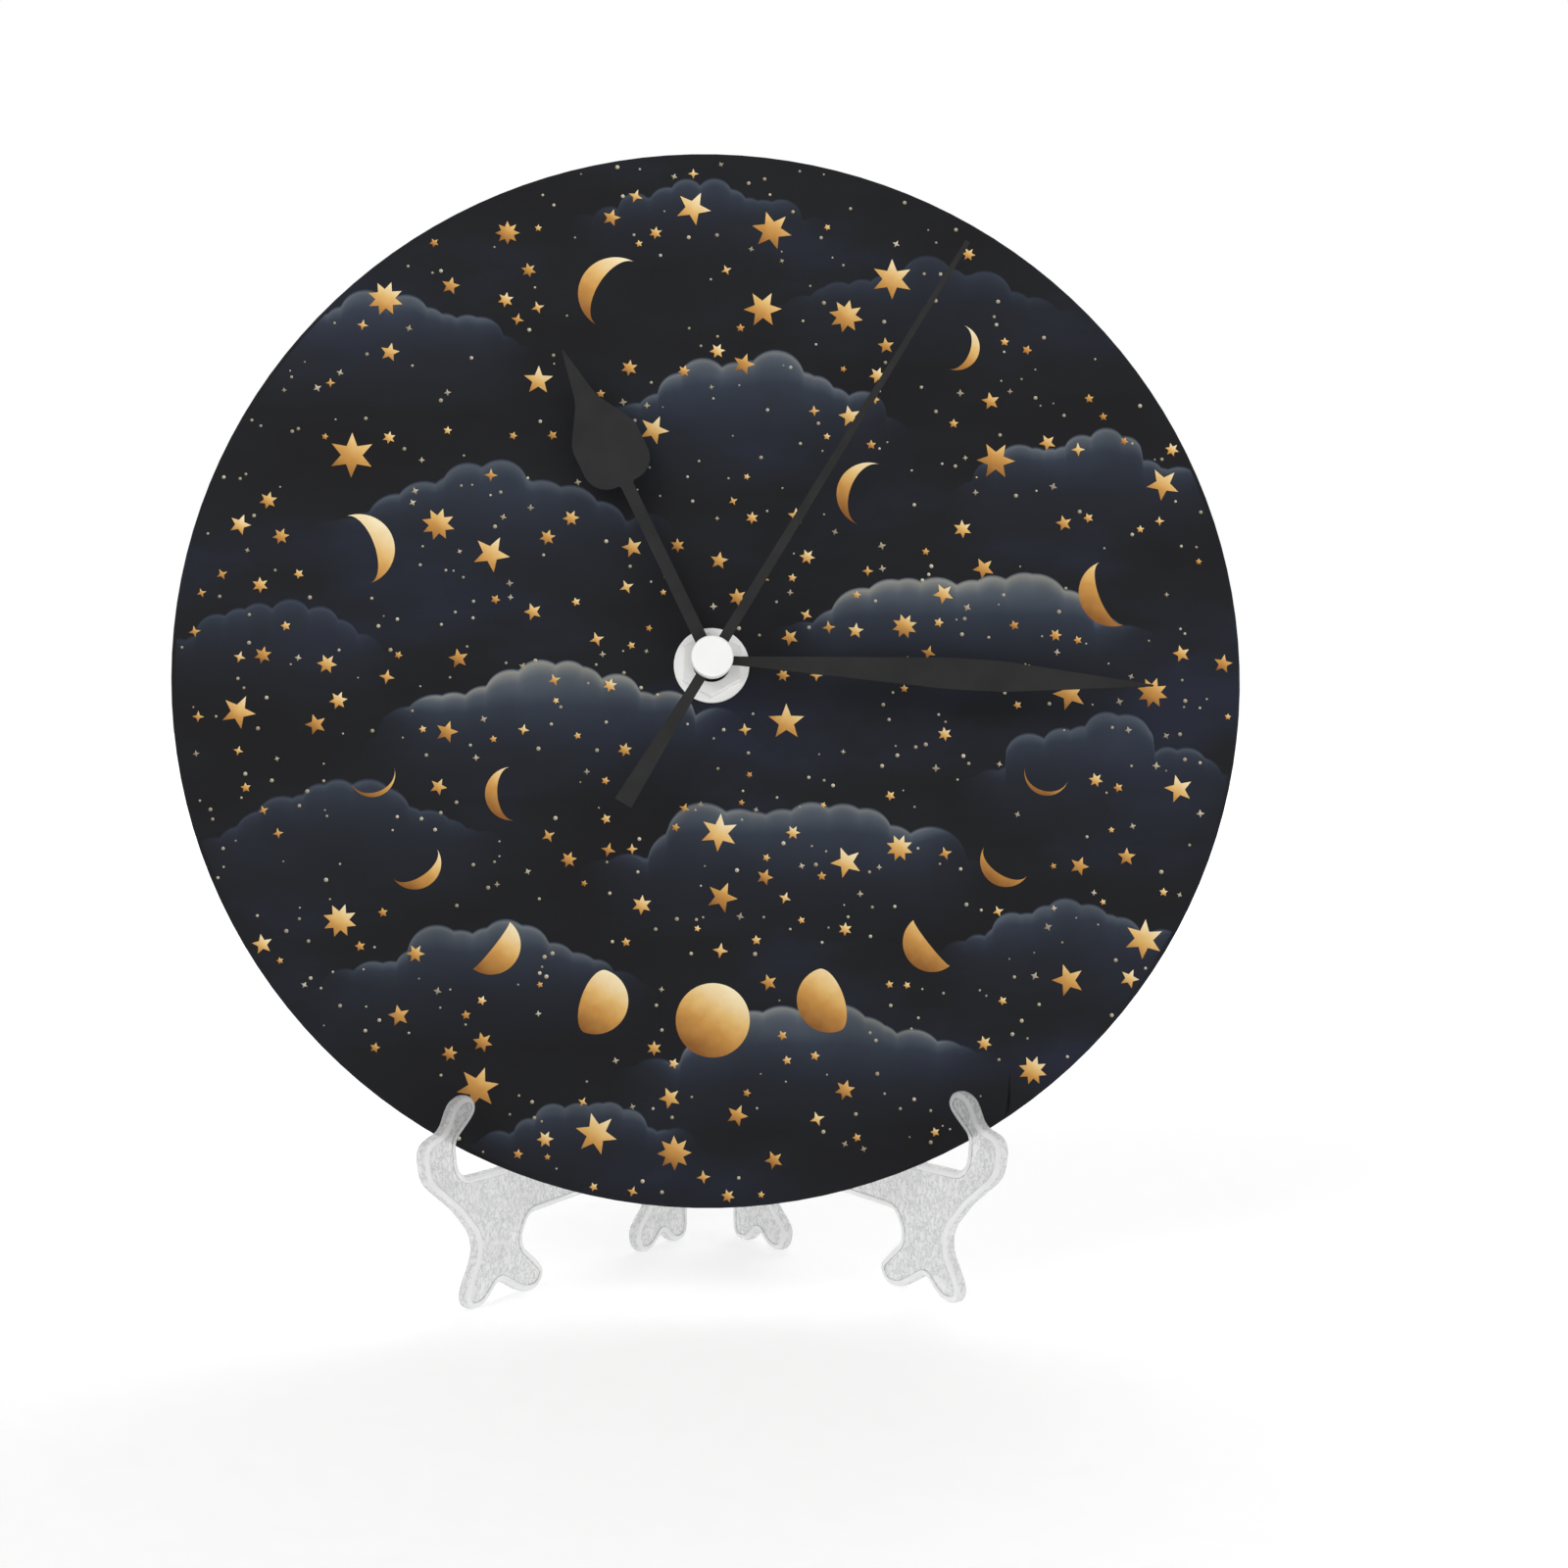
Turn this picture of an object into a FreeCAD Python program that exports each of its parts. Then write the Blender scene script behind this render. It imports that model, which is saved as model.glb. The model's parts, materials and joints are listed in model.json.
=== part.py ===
import FreeCAD, Part
import math
import os
import re

import Sketcher
from FreeCAD import Placement, Rotation, Vector

# A round desk clock with a printed night-sky face, leaning on a clear folding easel.
# Lengths are in millimetres and angles in degrees. X points right as the face is read,
# Y points back and Z points up. The easel stands on Z = 0 and the origin lies on the
# ground under the middle of the whole object.
#
# The easel is two clear wings, hinged on the rods of a ladder-shaped spine. The disc's
# rim stands in a notch of each wing, and the movement's back leans on the wings' tops.

SIZES = {
    # The disc: a white board with a printed film on its front.
    "disc_diameter": 200.0,
    "board_thickness": 2.85,
    "print_thickness": 0.15,
    "dial_hole_gap": 0.5,
    # How it leans, and how far each wing is swung out from straight ahead.
    "lean_angle": 9.12,
    "splay_angle": 37.55,
    "seat_gap": 0.3,
    # The fixing through the disc: bushing, washers and nut.
    "bushing_diameter": 7.0,
    "bushing_proud": 0.4,
    "thread_gap": 0.05,
    "washer_diameter": 14.1,
    "washer_thickness": 0.8,
    "washer_gap": 0.2,
    "nut_flats": 10.9,
    "nut_height": 2.2,
    "nut_chamfer": 0.35,
    "gasket_diameter": 20.0,
    "gasket_thickness": 0.8,
    # The movement's case, house shaped, with the shaft as its centre.
    "case_width": 60.0,
    "case_drop": 29.5,
    "case_eaves": 29.0,
    "case_roof_angle": 33.4,
    "case_corner": 3.5,
    "case_wall": 1.6,
    "case_depth": 20.4,
    "back_thickness": 2.0,
    "back_chamfer": 0.7,
    "window_width": 43.6,
    "window_rise": 24.6,
    "window_drop": 5.1,
    "cover_thickness": 1.4,
    "cover_lip": 0.9,
    "hanger_diameter": 9.8,
    "hanger_rise": 35.1,
    "hanger_wall": 1.2,
    # The battery and its tray. The end room is what the case has past the cell's ends.
    "cell_diameter": 14.5,
    "cell_end_room": 4.75,
    "cell_nub_diameter": 5.5,
    "cell_nub_height": 1.0,
    "cell_drop": 14.9,
    "cell_inset": 0.3,
    "cell_gap": 0.15,
    "tray_wall": 1.1,
    "tray_flange": 1.2,
    "contact_thickness": 0.4,
    "contact_width": 8.0,
    "contact_height": 11.0,
    "contact_spring": 1.5,
    "contact_spring_diameter": 7.0,
    "contact_tip_diameter": 3.5,
    # The plate that carries the train, and what is fixed on it.
    "motion_space": 5.1,
    "plate_thickness": 1.5,
    "plate_end_room": 3.2,
    "plate_rise": 26.0,
    "plate_drop": 5.8,
    "post_diameter": 3.0,
    "post_inset": 2.2,
    "circuit_width": 28.0,
    "circuit_height": 11.5,
    "circuit_left": 6.5,
    "circuit_rise": 13.6,
    "circuit_thickness": 0.8,
    "crystal_diameter": 2.0,
    "crystal_length": 6.0,
    "crystal_left": 5.9,
    "crystal_rise": 17.1,
    "chip_diameter": 6.5,
    "chip_height": 1.4,
    "chip_right": 8.0,
    "chip_rise": 19.4,
    # The motor: coil, core and stator.
    "coil_distance": 14.3,
    "coil_foot": 4.4,
    "coil_length": 18.6,
    "coil_width": 7.6,
    "coil_flange": 0.8,
    "winding_width": 5.6,
    "winding_depth": 6.6,
    "winding_corner": 1.0,
    "bobbin_wall": 0.5,
    "core_width": 2.6,
    "core_depth": 1.6,
    "core_overrun": 3.4,
    "core_gap": 0.05,
    "stator_level": 2.3,
    "stator_thickness": 0.9,
    "stator_ring": 7.0,
    "stator_bore": 5.3,
    "stator_strip": 2.6,
    "peg_diameter": 2.4,
    # Shafts and tubes. The running gap is the radial play of every shaft in its hole.
    "running_gap": 0.05,
    "hour_tube_diameter": 4.4,
    "minute_tube_diameter": 2.6,
    "seconds_arbor_diameter": 1.0,
    "arbor_diameter": 0.7,
    "setting_arbor_diameter": 1.4,
    "pivot_depth": 0.8,
    # Wheels and their places. Directions run anticlockwise from three o'clock.
    "wheel_thickness": 0.8,
    "pinion_overhang": 0.4,
    "third_distance": 6.84,
    "third_direction": 53.0,
    "fifth_distance": 6.9,
    "fifth_direction": 137.6,
    "rotor_distance": 5.6,
    "rotor_direction": 220.4,
    "motion_distance": 7.68,
    "knob_right": 16.2,
    "knob_rise": 1.7,
    "knob_diameter": 9.0,
    "knob_thickness": 1.6,
    "knob_gap": 0.2,
    "knob_slot_width": 1.0,
    "knob_slot_depth": 0.6,
    "magnet_diameter": 4.6,
    "magnet_height": 3.0,
    "rotor_flange_diameter": 5.6,
    "rotor_flange_thickness": 0.6,
    "centre_hub_diameter": 4.4,
    "centre_level": 0.7,
    "third_level": 3.8,
    "seconds_level": 6.0,
    "fifth_level": 8.2,
    "magnet_level": 1.3,
    "rotor_flange_level": 6.6,
    "hour_wheel_gap": 0.4,
    "hour_wheel_thickness": 1.0,
    "minute_pinion_thickness": 1.5,
    "motion_gap": 1.3,
    # Tooth counts.
    "rotor_pinion_teeth": 8,
    "fifth_wheel_teeth": 48,
    "fifth_pinion_teeth": 10,
    "seconds_wheel_teeth": 50,
    "seconds_pinion_teeth": 8,
    "third_wheel_teeth": 60,
    "third_pinion_teeth": 8,
    "centre_wheel_teeth": 64,
    "minute_pinion_teeth": 12,
    "motion_wheel_teeth": 36,
    "motion_pinion_teeth": 10,
    "hour_wheel_teeth": 40,
    "setting_wheel_teeth": 24,
    # Hands: heights are of each hand's back above the face.
    "hand_thickness": 0.5,
    "hour_hand_length": 65.3,
    "hour_hand_angle": 334.8,
    "hour_hand_height": 4.7,
    "hour_boss_diameter": 6.4,
    "hour_boss_height": 1.4,
    "minute_hand_length": 82.0,
    "minute_hand_angle": 93.4,
    "minute_hand_height": 6.7,
    "minute_boss_diameter": 4.8,
    "minute_boss_height": 1.2,
    "second_hand_length": 93.4,
    "second_hand_tail": 31.3,
    "second_hand_angle": 31.3,
    "second_hand_height": 8.1,
    "second_boss_diameter": 5.0,
    "tube_proud": 0.2,
    "cap_diameter": 7.8,
    "cap_height": 2.1,
    "cap_round": 0.5,
    # The easel.
    "hinge_spacing": 10.6,
    "rod_diameter": 2.2,
    "spine_thickness": 2.6,
    "spine_base": 25.0,
    "lower_bar_height": 6.0,
    "upper_bar_height": 7.0,
    "bar_end_diameter": 3.0,
    "knuckle_diameter": 4.6,
    "knuckle_length": 20.0,
    "knuckle_gap": 0.3,
    "wing_thickness": 2.6,
    "wing_height": 106.6,
    "upright_top_width": 9.4,
    "upright_start": 1.8,
    "upright_corner": 1.4,
    "upright_back_corner": 0.7,
    "heel_start": 0.2,
    "heel_corner": 0.5,
    "notch_height": 24.4,
    "panel_inset": 1.3,
    "panel_depth": 0.3,
    "overrun": 1.0,
}

# The wing's outline from the notch forwards and round to the arch. Each corner is given as
# how far it lies past the notch's middle, how high it is, and its radius, all as shares of
# the notch's height.
FRONT_SHARES = (
    (0.340, 1.000, 0.139),
    (0.373, 1.283, 0.098),
    (0.123, 1.492, 0.074),
    (0.217, 1.631, 0.086),
    (0.389, 1.566, 0.066),
    (0.480, 1.373, 0.150),
    (0.725, 1.307, 0.100),
    (0.676, 1.016, 0.140),
    (0.357, 0.762, 0.400),
    (0.098, 0.475, 0.240),
    (0.291, 0.123, 0.070),
    (0.266, 0.000, 0.050),
    (0.082, 0.000, 0.065),
    (-0.086, 0.160, 0.060),
    (-0.357, 0.000, 0.080),
    (-0.529, 0.000, 0.055),
    (-0.615, 0.135, 0.055),
    (-0.324, 0.393, 0.120),
    (-0.422, 0.594, 0.120),
)
# The rear foot in the same way, measured from the hinge.
REAR_SHARES = (
    (0.467, 0.668, 0.130),
    (0.504, 0.385, 0.200),
    (0.717, 0.189, 0.080),
    (0.652, 0.000, 0.065),
    (0.488, 0.000, 0.070),
    (0.336, 0.135, 0.050),
    (0.213, 0.000, 0.070),
)
HEEL_RADIUS_SHARE = 0.09
# The upright's bend: its distance is a share of the upright's width, its height and radius
# are shares of the wing's height.
UPRIGHT_BEND_SHARES = (1.277, 0.732, 2.8)
# The edge that sweeps from the upright down to the notch: distances are shares of the
# notch's, heights above the notch and radii are shares of the rise from there to the top.
SWEEP_SHARES = ((0.271, 0.323, 0.487), (0.508, 0.1045, 0.413), (0.813, 0.0196, 0.255))
# The hump behind the notch: height and two radii, as shares of the notch's height.
HUMP_SHARES = (1.10, 0.041, 0.008)

# Hands: half widths, places along the hand and corner radii, as shares of its length.
HOUR_HAND_SHARES = (
    (0.0185, 0.570, 0.010),
    (0.0995, 0.570, 0.069),
    (0.0995, 0.727, 0.077),
    (0.0320, 0.842, 0.138),
    (0.0023, 1.000, 0.0),
)
MINUTE_HAND_SHARES = (
    (0.0100, 0.060, 0.200),
    (0.0362, 0.537, 0.700),
    (0.0350, 0.660, 0.360),
    (0.0018, 1.000, 0.0),
)
SECOND_HAND_SHARES = (
    (0.0107, 0.050, 0.500),
    (0.0048, 1.000, 0.0),
)
# The second hand's tail: half widths at its end and at its bend, the bend's place and radius.
SECOND_TAIL_SHARES = (0.0185, 0.0105, 0.080, 0.5)

# Teeth, as shares of one tooth's angle (half widths at root, pitch circle, shoulder and
# tip) and of the module (shoulder, tip and root heights).
WHEEL_TOOTH_SHARES = (0.270, 0.215, 0.160, 0.060, 0.50, 0.90, 1.30)
PINION_TOOTH_SHARES = (0.190, 0.190, 0.150, 0.070, 0.40, 0.65, 1.30)

# Formulas that several pieces share: the cell's length and half the bay's, which holds the
# cell, its two contacts and a gap at each end.
CELL_LENGTH = "(case_width - 2 * cell_end_room)"
BAY_HALF = f"({CELL_LENGTH} / 2 + contact_thickness + (contact_spring + cell_gap) / 2)"

# The middle of the face, the least length that counts, and the size that a sketch's circle
# has until its constraints pull it to its own.
CENTRE = (0.0, 0.0)
SMALL = 1e-6
UNIT = 1.0

document = FreeCAD.newDocument("MoonPhaseDeskClock")
sheet = document.addObject("Spreadsheet::Sheet", "Sizes")
pieces = []


def fill_sheet():
    """One row for each driving dimension: its name, and its value under that name."""
    for row, (name, value) in enumerate(SIZES.items(), 1):
        sheet.set(f"A{row}", name)
        sheet.set(f"B{row}", str(value))
        sheet.setAlias(f"B{row}", name)
    document.recompute()


def size(name):
    return float(sheet.get(name))


def cells(formula):
    """A formula in plain names, with each name turned into its cell."""
    return re.sub(r"[a-z_]+", lambda word: f"Sizes.{word[0]}" if word[0] in SIZES else word[0], formula)


def bind(thing, **formulas):
    for name, formula in formulas.items():
        thing.setExpression(name, cells(formula))
    return thing


def piece(thing, name, placement):
    """Registers a finished sub-part under its name, with its place on the object."""
    thing.Label = name
    pieces.append((thing, name, placement))


# Helpers for pieces that are drawn flat and given a thickness.

def new_body(name):
    return document.addObject("PartDesign::Body", f"{name}_body")


def new_sketch(body, role="XY_Plane", lift=None):
    sketch = body.newObject("Sketcher::SketchObject", "Sketch")
    plane = [feature for feature in body.Origin.OriginFeatures if feature.Role == role]
    sketch.AttachmentSupport = [(plane[0], "")]
    sketch.MapMode = "FlatFace"
    if lift:
        sketch.setExpression("AttachmentOffset.Base.z", cells(lift))
    return sketch


def hold(sketch, kind, geometry, point, formula):
    """Holds one coordinate of a point at a formula's value, or on the axis for zero."""
    axis = -2 if kind == "DistanceX" else -1
    if formula == "0":
        sketch.addConstraint(Sketcher.Constraint("PointOnObject", geometry, point, axis))
        return
    index = sketch.addConstraint(Sketcher.Constraint(kind, -1, 1, geometry, point, UNIT))
    sketch.setExpression(f"Constraints[{index}]", cells(formula))


def draw_circle(sketch, diameter, across="0", up="0"):
    circle = Part.Circle(Vector(UNIT, UNIT, 0), Vector(0, 0, 1), UNIT)
    geometry = sketch.addGeometry(circle, False)
    index = sketch.addConstraint(Sketcher.Constraint("Diameter", geometry, UNIT))
    sketch.setExpression(f"Constraints[{index}]", cells(diameter))
    hold(sketch, "DistanceX", geometry, 3, across)
    hold(sketch, "DistanceY", geometry, 3, up)


def draw_polygon(sketch, corners):
    first = sketch.GeometryCount
    count = len(corners)
    turns = [2 * math.pi * index / count for index in range(count)]
    starts = [Vector(math.cos(turn), math.sin(turn), 0) for turn in turns]
    for index in range(count):
        side = Part.LineSegment(starts[index], starts[(index + 1) % count])
        sketch.addGeometry(side, False)
    for index in range(count):
        follower = first + (index + 1) % count
        sketch.addConstraint(Sketcher.Constraint("Coincident", first + index, 2, follower, 1))
    for index, (across, up) in enumerate(corners):
        hold(sketch, "DistanceX", first + index, 1, across)
        hold(sketch, "DistanceY", first + index, 1, up)


def draw_rectangle(sketch, left, bottom, right, top):
    draw_polygon(sketch, [(left, bottom), (right, bottom), (right, top), (left, top)])


def pad(body, sketch, length):
    feature = body.newObject("PartDesign::Pad", "Pad")
    feature.Profile = sketch
    bind(feature, Length=length)
    body.Tip = feature
    return feature


def pocket(body, sketch, length):
    """Cuts upwards from the sketch, as far as the length says."""
    feature = body.newObject("PartDesign::Pocket", "Pocket")
    feature.Profile = sketch
    feature.Reversed = True
    bind(feature, Length=length)
    body.Tip = feature
    return feature


def edges_where(feature, test):
    document.recompute()
    found = enumerate(feature.Shape.Edges, 1)
    return [f"Edge{index}" for index, edge in found if test(edge)]


def upright(edge):
    return abs(edge.tangentAt(edge.FirstParameter).z) > 1 - SMALL


def dress(body, kind, feature, edges, **formulas):
    dressed = body.newObject(kind, "Dress")
    dressed.Base = (feature, edges)
    bind(dressed, **formulas)
    body.Tip = dressed
    return dressed


def ring_body(name, outer, inner, height):
    """A flat ring, from its back at zero forwards."""
    body = new_body(name)
    sketch = new_sketch(body)
    draw_circle(sketch, outer)
    draw_circle(sketch, inner)
    pad(body, sketch, height)
    return body


# Helpers for pieces that are joined from simple solids.

def cylinder(diameter, height, at=Vector(), turn=Rotation()):
    made = document.addObject("Part::Cylinder", "Cylinder")
    bind(made, Radius=f"({diameter}) / 2", Height=height)
    made.Placement = Placement(at, turn)
    return made


def box(length, width, height, at):
    made = document.addObject("Part::Box", "Box")
    bind(made, Length=length, Width=width, Height=height)
    made.Placement = Placement(at, Rotation())
    return made


def fuse(*things):
    made = document.addObject("Part::MultiFuse", "Fusion")
    made.Shapes = list(things)
    return made


def cut(base, tool):
    made = document.addObject("Part::Cut", "Cut")
    made.Base = base
    made.Tool = tool
    return made


def rounded_outline(corners):
    """A closed wire through corners given as (x, y, radius).

    Each corner becomes an arc tangent to both its sides: it starts its radius over the
    tangent of half the corner's angle away from the corner."""
    arcs = []
    count = len(corners)
    for index, (x, y, radius) in enumerate(corners):
        corner = Vector(x, y, 0)
        before = Vector(*corners[index - 1][:2], 0) - corner
        after = Vector(*corners[(index + 1) % count][:2], 0) - corner
        before.normalize()
        after.normalize()
        half = before.getAngle(after) / 2
        middle = (before + after).normalize()
        start = corner + before * (radius / math.tan(half))
        end = corner + after * (radius / math.tan(half))
        top = corner + middle * (radius / math.sin(half) - radius)
        arcs.append((start, top, end))
    edges = []
    for index, (start, top, end) in enumerate(arcs):
        if start.distanceToPoint(end) > SMALL:
            edges.append(Part.Arc(start, top, end).toShape())
        following = arcs[(index + 1) % count][0]
        if end.distanceToPoint(following) > SMALL:
            edges.append(Part.LineSegment(end, following).toShape())
    return Part.Wire(edges)


fill_sheet()

# Levels along the shaft, measured forwards from the face.
board_back = -(size("board_thickness") + size("print_thickness"))
case_front = board_back - size("gasket_thickness")
floor_back = case_front - size("case_wall")
case_rim = case_front - size("case_depth")
back_plane = case_rim - size("back_thickness")
plate_front = floor_back - size("motion_space")
plate_back = plate_front - size("plate_thickness")
cover_front = case_rim + size("cover_thickness")
cell_level = back_plane + size("cell_inset") + size("cell_diameter") / 2
hour_front = floor_back - size("hour_wheel_gap")
hour_back = hour_front - size("hour_wheel_thickness")
minute_pinion_front = hour_back - size("motion_gap")
motion_front = minute_pinion_front - (size("minute_pinion_thickness") - size("wheel_thickness")) / 2

# The clock's frame: its origin is the face's centre, its Z is the shaft, pointing out.
lean = math.radians(size("lean_angle"))
splay = math.radians(size("splay_angle"))
hinge_half = size("hinge_spacing") / 2


def face_setback(height):
    """Where the face's plane stands in Y at a height, with the case's back against the
    front corners of the two uprights."""
    half_plate = size("wing_thickness") / 2
    corner = -size("upright_top_width") * math.cos(splay) - half_plate * math.sin(splay)
    rise = (height - size("wing_height")) * math.sin(lean)
    return corner + (rise + back_plane - size("seat_gap")) / math.cos(lean)


def along_wing(setback):
    return -setback / math.cos(splay)


def disc_back_setback(height):
    return face_setback(height) - board_back / math.cos(lean)


def disc_centre():
    """The face's centre, from the rim's seat in the notches.

    The rim meets the wing's inner side where the disc's back crosses it, so the centre
    stands above that point by the rim's drop at that distance from the middle."""
    seat = size("notch_height") + size("seat_gap")
    reach = along_wing(disc_back_setback(seat)) * math.sin(splay)
    across = hinge_half + reach - size("wing_thickness") / 2 / math.cos(splay)
    drop = math.sqrt((size("disc_diameter") / 2) ** 2 - across**2)
    height = seat + drop * math.cos(lean) - board_back * math.sin(lean)
    return Vector(0, face_setback(height), height)


clock_frame = Placement(disc_centre(), Rotation(Vector(1, 0, 0), 90 - size("lean_angle")))


def on_clock(level, right=0.0, rise=0.0, turn=0.0):
    local = Placement(Vector(right, rise, level), Rotation(Vector(0, 0, 1), turn))
    return clock_frame.multiply(local)


# The disc and its fixing.

def make_disc():
    hole = "bushing_diameter + 2 * dial_hole_gap"
    board = ring_body("dial_board", "disc_diameter", hole, "board_thickness")
    piece(board, "dial_board", on_clock(board_back))
    film = ring_body("dial_print", "disc_diameter", hole, "print_thickness")
    piece(film, "dial_print", on_clock(-size("print_thickness")))


def make_fixing():
    hole = "bushing_diameter + 2 * washer_gap"
    gasket = ring_body("rubber_gasket", "gasket_diameter", hole, "gasket_thickness")
    piece(gasket, "rubber_gasket", on_clock(case_front))
    washer = ring_body("fixing_washer", "washer_diameter", hole, "washer_thickness")
    piece(washer, "fixing_washer", on_clock(0.0))


def make_nut():
    body = new_body("hex_nut")
    sketch = new_sketch(body)
    half = "nut_flats / 2"
    low = "nut_flats / sqrt(12)"
    high = "nut_flats / sqrt(3)"
    right = [(half, f"-{low}"), (half, low), ("0", high)]
    left = [(f"-{half}", low), (f"-{half}", f"-{low}"), ("0", f"-{high}")]
    draw_polygon(sketch, right + left)
    draw_circle(sketch, "bushing_diameter + 2 * thread_gap")
    block = pad(body, sketch, "nut_height")
    rim = flat_at(size("nut_height"))
    top = edges_where(block, lambda edge: rim(edge) and edge.Curve.TypeId == "Part::GeomLine")
    dress(body, "PartDesign::Chamfer", block, top, Size="nut_chamfer")
    piece(body, "hex_nut", on_clock(size("washer_thickness")))


def flat_at(height):
    """A test for an edge that lies flat at a height."""
    def test(edge):
        return edge.BoundBox.ZLength < SMALL and abs(edge.BoundBox.ZMax - height) < SMALL
    return test


# The movement's case.

def house(wall=None):
    """Corners of the house shape. With a wall, each side moves in by it: the roof's drops
    by the wall over the cosine of the roof's angle."""
    inset = f" - {wall}" if wall else ""
    half = f"(case_width / 2{inset})"
    foot = f"-(case_drop{inset})"
    roof = f" - {wall} / cos(case_roof_angle)" if wall else ""
    slope = "tan(case_roof_angle)"
    eaves = f"case_eaves + (case_width / 2 - {half}) * {slope}{roof}"
    peak = f"case_eaves + case_width / 2 * {slope}{roof}"
    return [(f"-{half}", foot), (half, foot), (half, eaves), ("0", peak), (f"-{half}", eaves)]


def teardrop(diameter, height, level=0.0):
    """A round hole with a pointed top: a cylinder and a box turned on its corner."""
    centre = Vector(0, size("hanger_rise"), level)
    barrel = cylinder(diameter, height, centre)
    corner = box(f"({diameter}) / 2", f"({diameter}) / 2", height, centre)
    corner.Placement = Placement(centre, Rotation(Vector(0, 0, 1), 45))
    return fuse(barrel, corner)


def make_case():
    """The tub with its floor in front, the bushing on it and the hanging hole's wall."""
    body = new_body("movement_case")
    outline = new_sketch(body)
    draw_polygon(outline, house())
    block = pad(body, outline, "case_depth")
    corners = edges_where(block, upright)
    dress(body, "PartDesign::Fillet", block, corners, Radius="case_corner")
    hollow = new_sketch(body)
    draw_polygon(hollow, house("case_wall"))
    pocket(body, hollow, "case_depth - case_wall")
    length = "gasket_thickness + board_thickness + print_thickness"
    length += " + washer_thickness + nut_height + bushing_proud"
    top = Vector(0, 0, size("case_depth"))
    bushing = cylinder("bushing_diameter", length, top)
    hanger = teardrop("hanger_diameter + 2 * hanger_wall", "case_depth")
    solid = fuse(body, bushing, hanger)
    floor = Vector(0, 0, size("case_depth") - size("case_wall"))
    bore = cylinder("hour_tube_diameter + 2 * running_gap", f"case_wall + {length}", floor)
    hole = teardrop("hanger_diameter", "case_depth")
    motion = Vector(*motion_place(), floor.z)
    knob = Vector(size("knob_right"), size("knob_rise"), floor.z)
    small = cylinder("arbor_diameter + 2 * running_gap", "pivot_depth", motion)
    large = cylinder("setting_arbor_diameter + 2 * running_gap", "pivot_depth", knob)
    case = cut(solid, fuse(bore, hole, small, large))
    piece(case, "movement_case", on_clock(case_rim))


def make_back():
    """The frame over the case's rim, open at the window, the battery and the hanger."""
    body = new_body("movement_back")
    outline = new_sketch(body)
    draw_polygon(outline, house())
    block = pad(body, outline, "back_thickness")
    corners = edges_where(block, upright)
    rounded = dress(body, "PartDesign::Fillet", block, corners, Radius="case_corner")
    rim = edges_where(rounded, flat_at(0.0))
    dress(body, "PartDesign::Chamfer", rounded, rim, Size="back_chamfer")
    half = "window_width / 2"
    window = new_sketch(body)
    draw_rectangle(window, f"-{half}", "-window_drop", half, "window_rise")
    pocket(body, window, "back_thickness")
    bay = new_sketch(body)
    reach = "(cell_diameter / 2 + cell_gap)"
    draw_rectangle(
        bay,
        f"-{BAY_HALF}",
        f"-cell_drop - {reach}",
        BAY_HALF,
        f"-cell_drop + {reach}",
    )
    pocket(body, bay, "back_thickness")
    frame = cut(body, teardrop("hanger_diameter", "back_thickness"))
    piece(frame, "movement_back", on_clock(back_plane))


def make_cover():
    """The smoked plate behind the window, with a hole for each arbor that ends in it."""
    body = new_body("window_cover")
    plate = new_sketch(body)
    half = "(window_width / 2 + cover_lip)"
    draw_rectangle(plate, f"-{half}", "-(window_drop + cover_lip)", half, "window_rise + cover_lip")
    pad(body, plate, "cover_thickness")
    solid = cut(body, fuse(*arbor_holes("cover_thickness")))
    piece(solid, "window_cover", on_clock(case_rim))


def arbor_holes(height):
    """Bearing holes at the train's places, from zero up."""
    thin = "arbor_diameter + 2 * running_gap"
    holes = [cylinder(thin, height, Vector(*place, 0)) for place in train_places()]
    knob = Vector(size("knob_right"), size("knob_rise"), 0)
    holes.append(cylinder("setting_arbor_diameter + 2 * running_gap", height, knob))
    if height == "cover_thickness":
        holes.append(cylinder("seconds_arbor_diameter + 2 * running_gap", height))
    else:
        holes.append(cylinder("minute_tube_diameter + 2 * running_gap", height))
        holes.append(cylinder(thin, height, Vector(*motion_place(), 0)))
    return holes


def make_train_plate():
    """The plate between the motion work and the train, on four posts, with two pegs that
    carry the stator."""
    body = new_body("train_plate")
    plate = new_sketch(body, lift="stator_level")
    half = "(case_width / 2 - plate_end_room)"
    draw_rectangle(plate, f"-{half}", "-plate_drop", half, "plate_rise")
    pad(body, plate, "plate_thickness")
    top = size("stator_level") + size("plate_thickness")
    inset = size("post_inset")
    posts = []
    for side in (-1, 1):
        across = side * (size("case_width") / 2 - size("plate_end_room") - inset)
        for rise in (inset - size("plate_drop"), size("plate_rise") - inset):
            foot = Vector(across, rise, top)
            posts.append(cylinder("post_diameter", "motion_space", foot))
    pegs = [cylinder("peg_diameter", "stator_level", Vector(*place, 0)) for place in peg_places()]
    holes = arbor_holes("plate_thickness")
    for hole in holes:
        hole.Placement.Base.z = size("stator_level")
    solid = cut(fuse(body, *posts, *pegs), fuse(*holes))
    piece(solid, "train_plate", on_clock(plate_back - size("stator_level")))


def peg_places():
    """Under the stator's lower corner, and under the corner by the coil's top."""
    core_foot = size("coil_foot") - size("core_overrun") + size("peg_diameter") / 2
    core_top = size("coil_foot") + size("coil_length") + size("core_overrun") / 2
    return [(-size("coil_distance"), core_foot), (strip_middle(), core_top)]


def strip_middle():
    return -size("coil_distance") + size("coil_width") / 2 + size("stator_strip") / 2 + size("seat_gap")


# The battery, lying across the bay.

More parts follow.
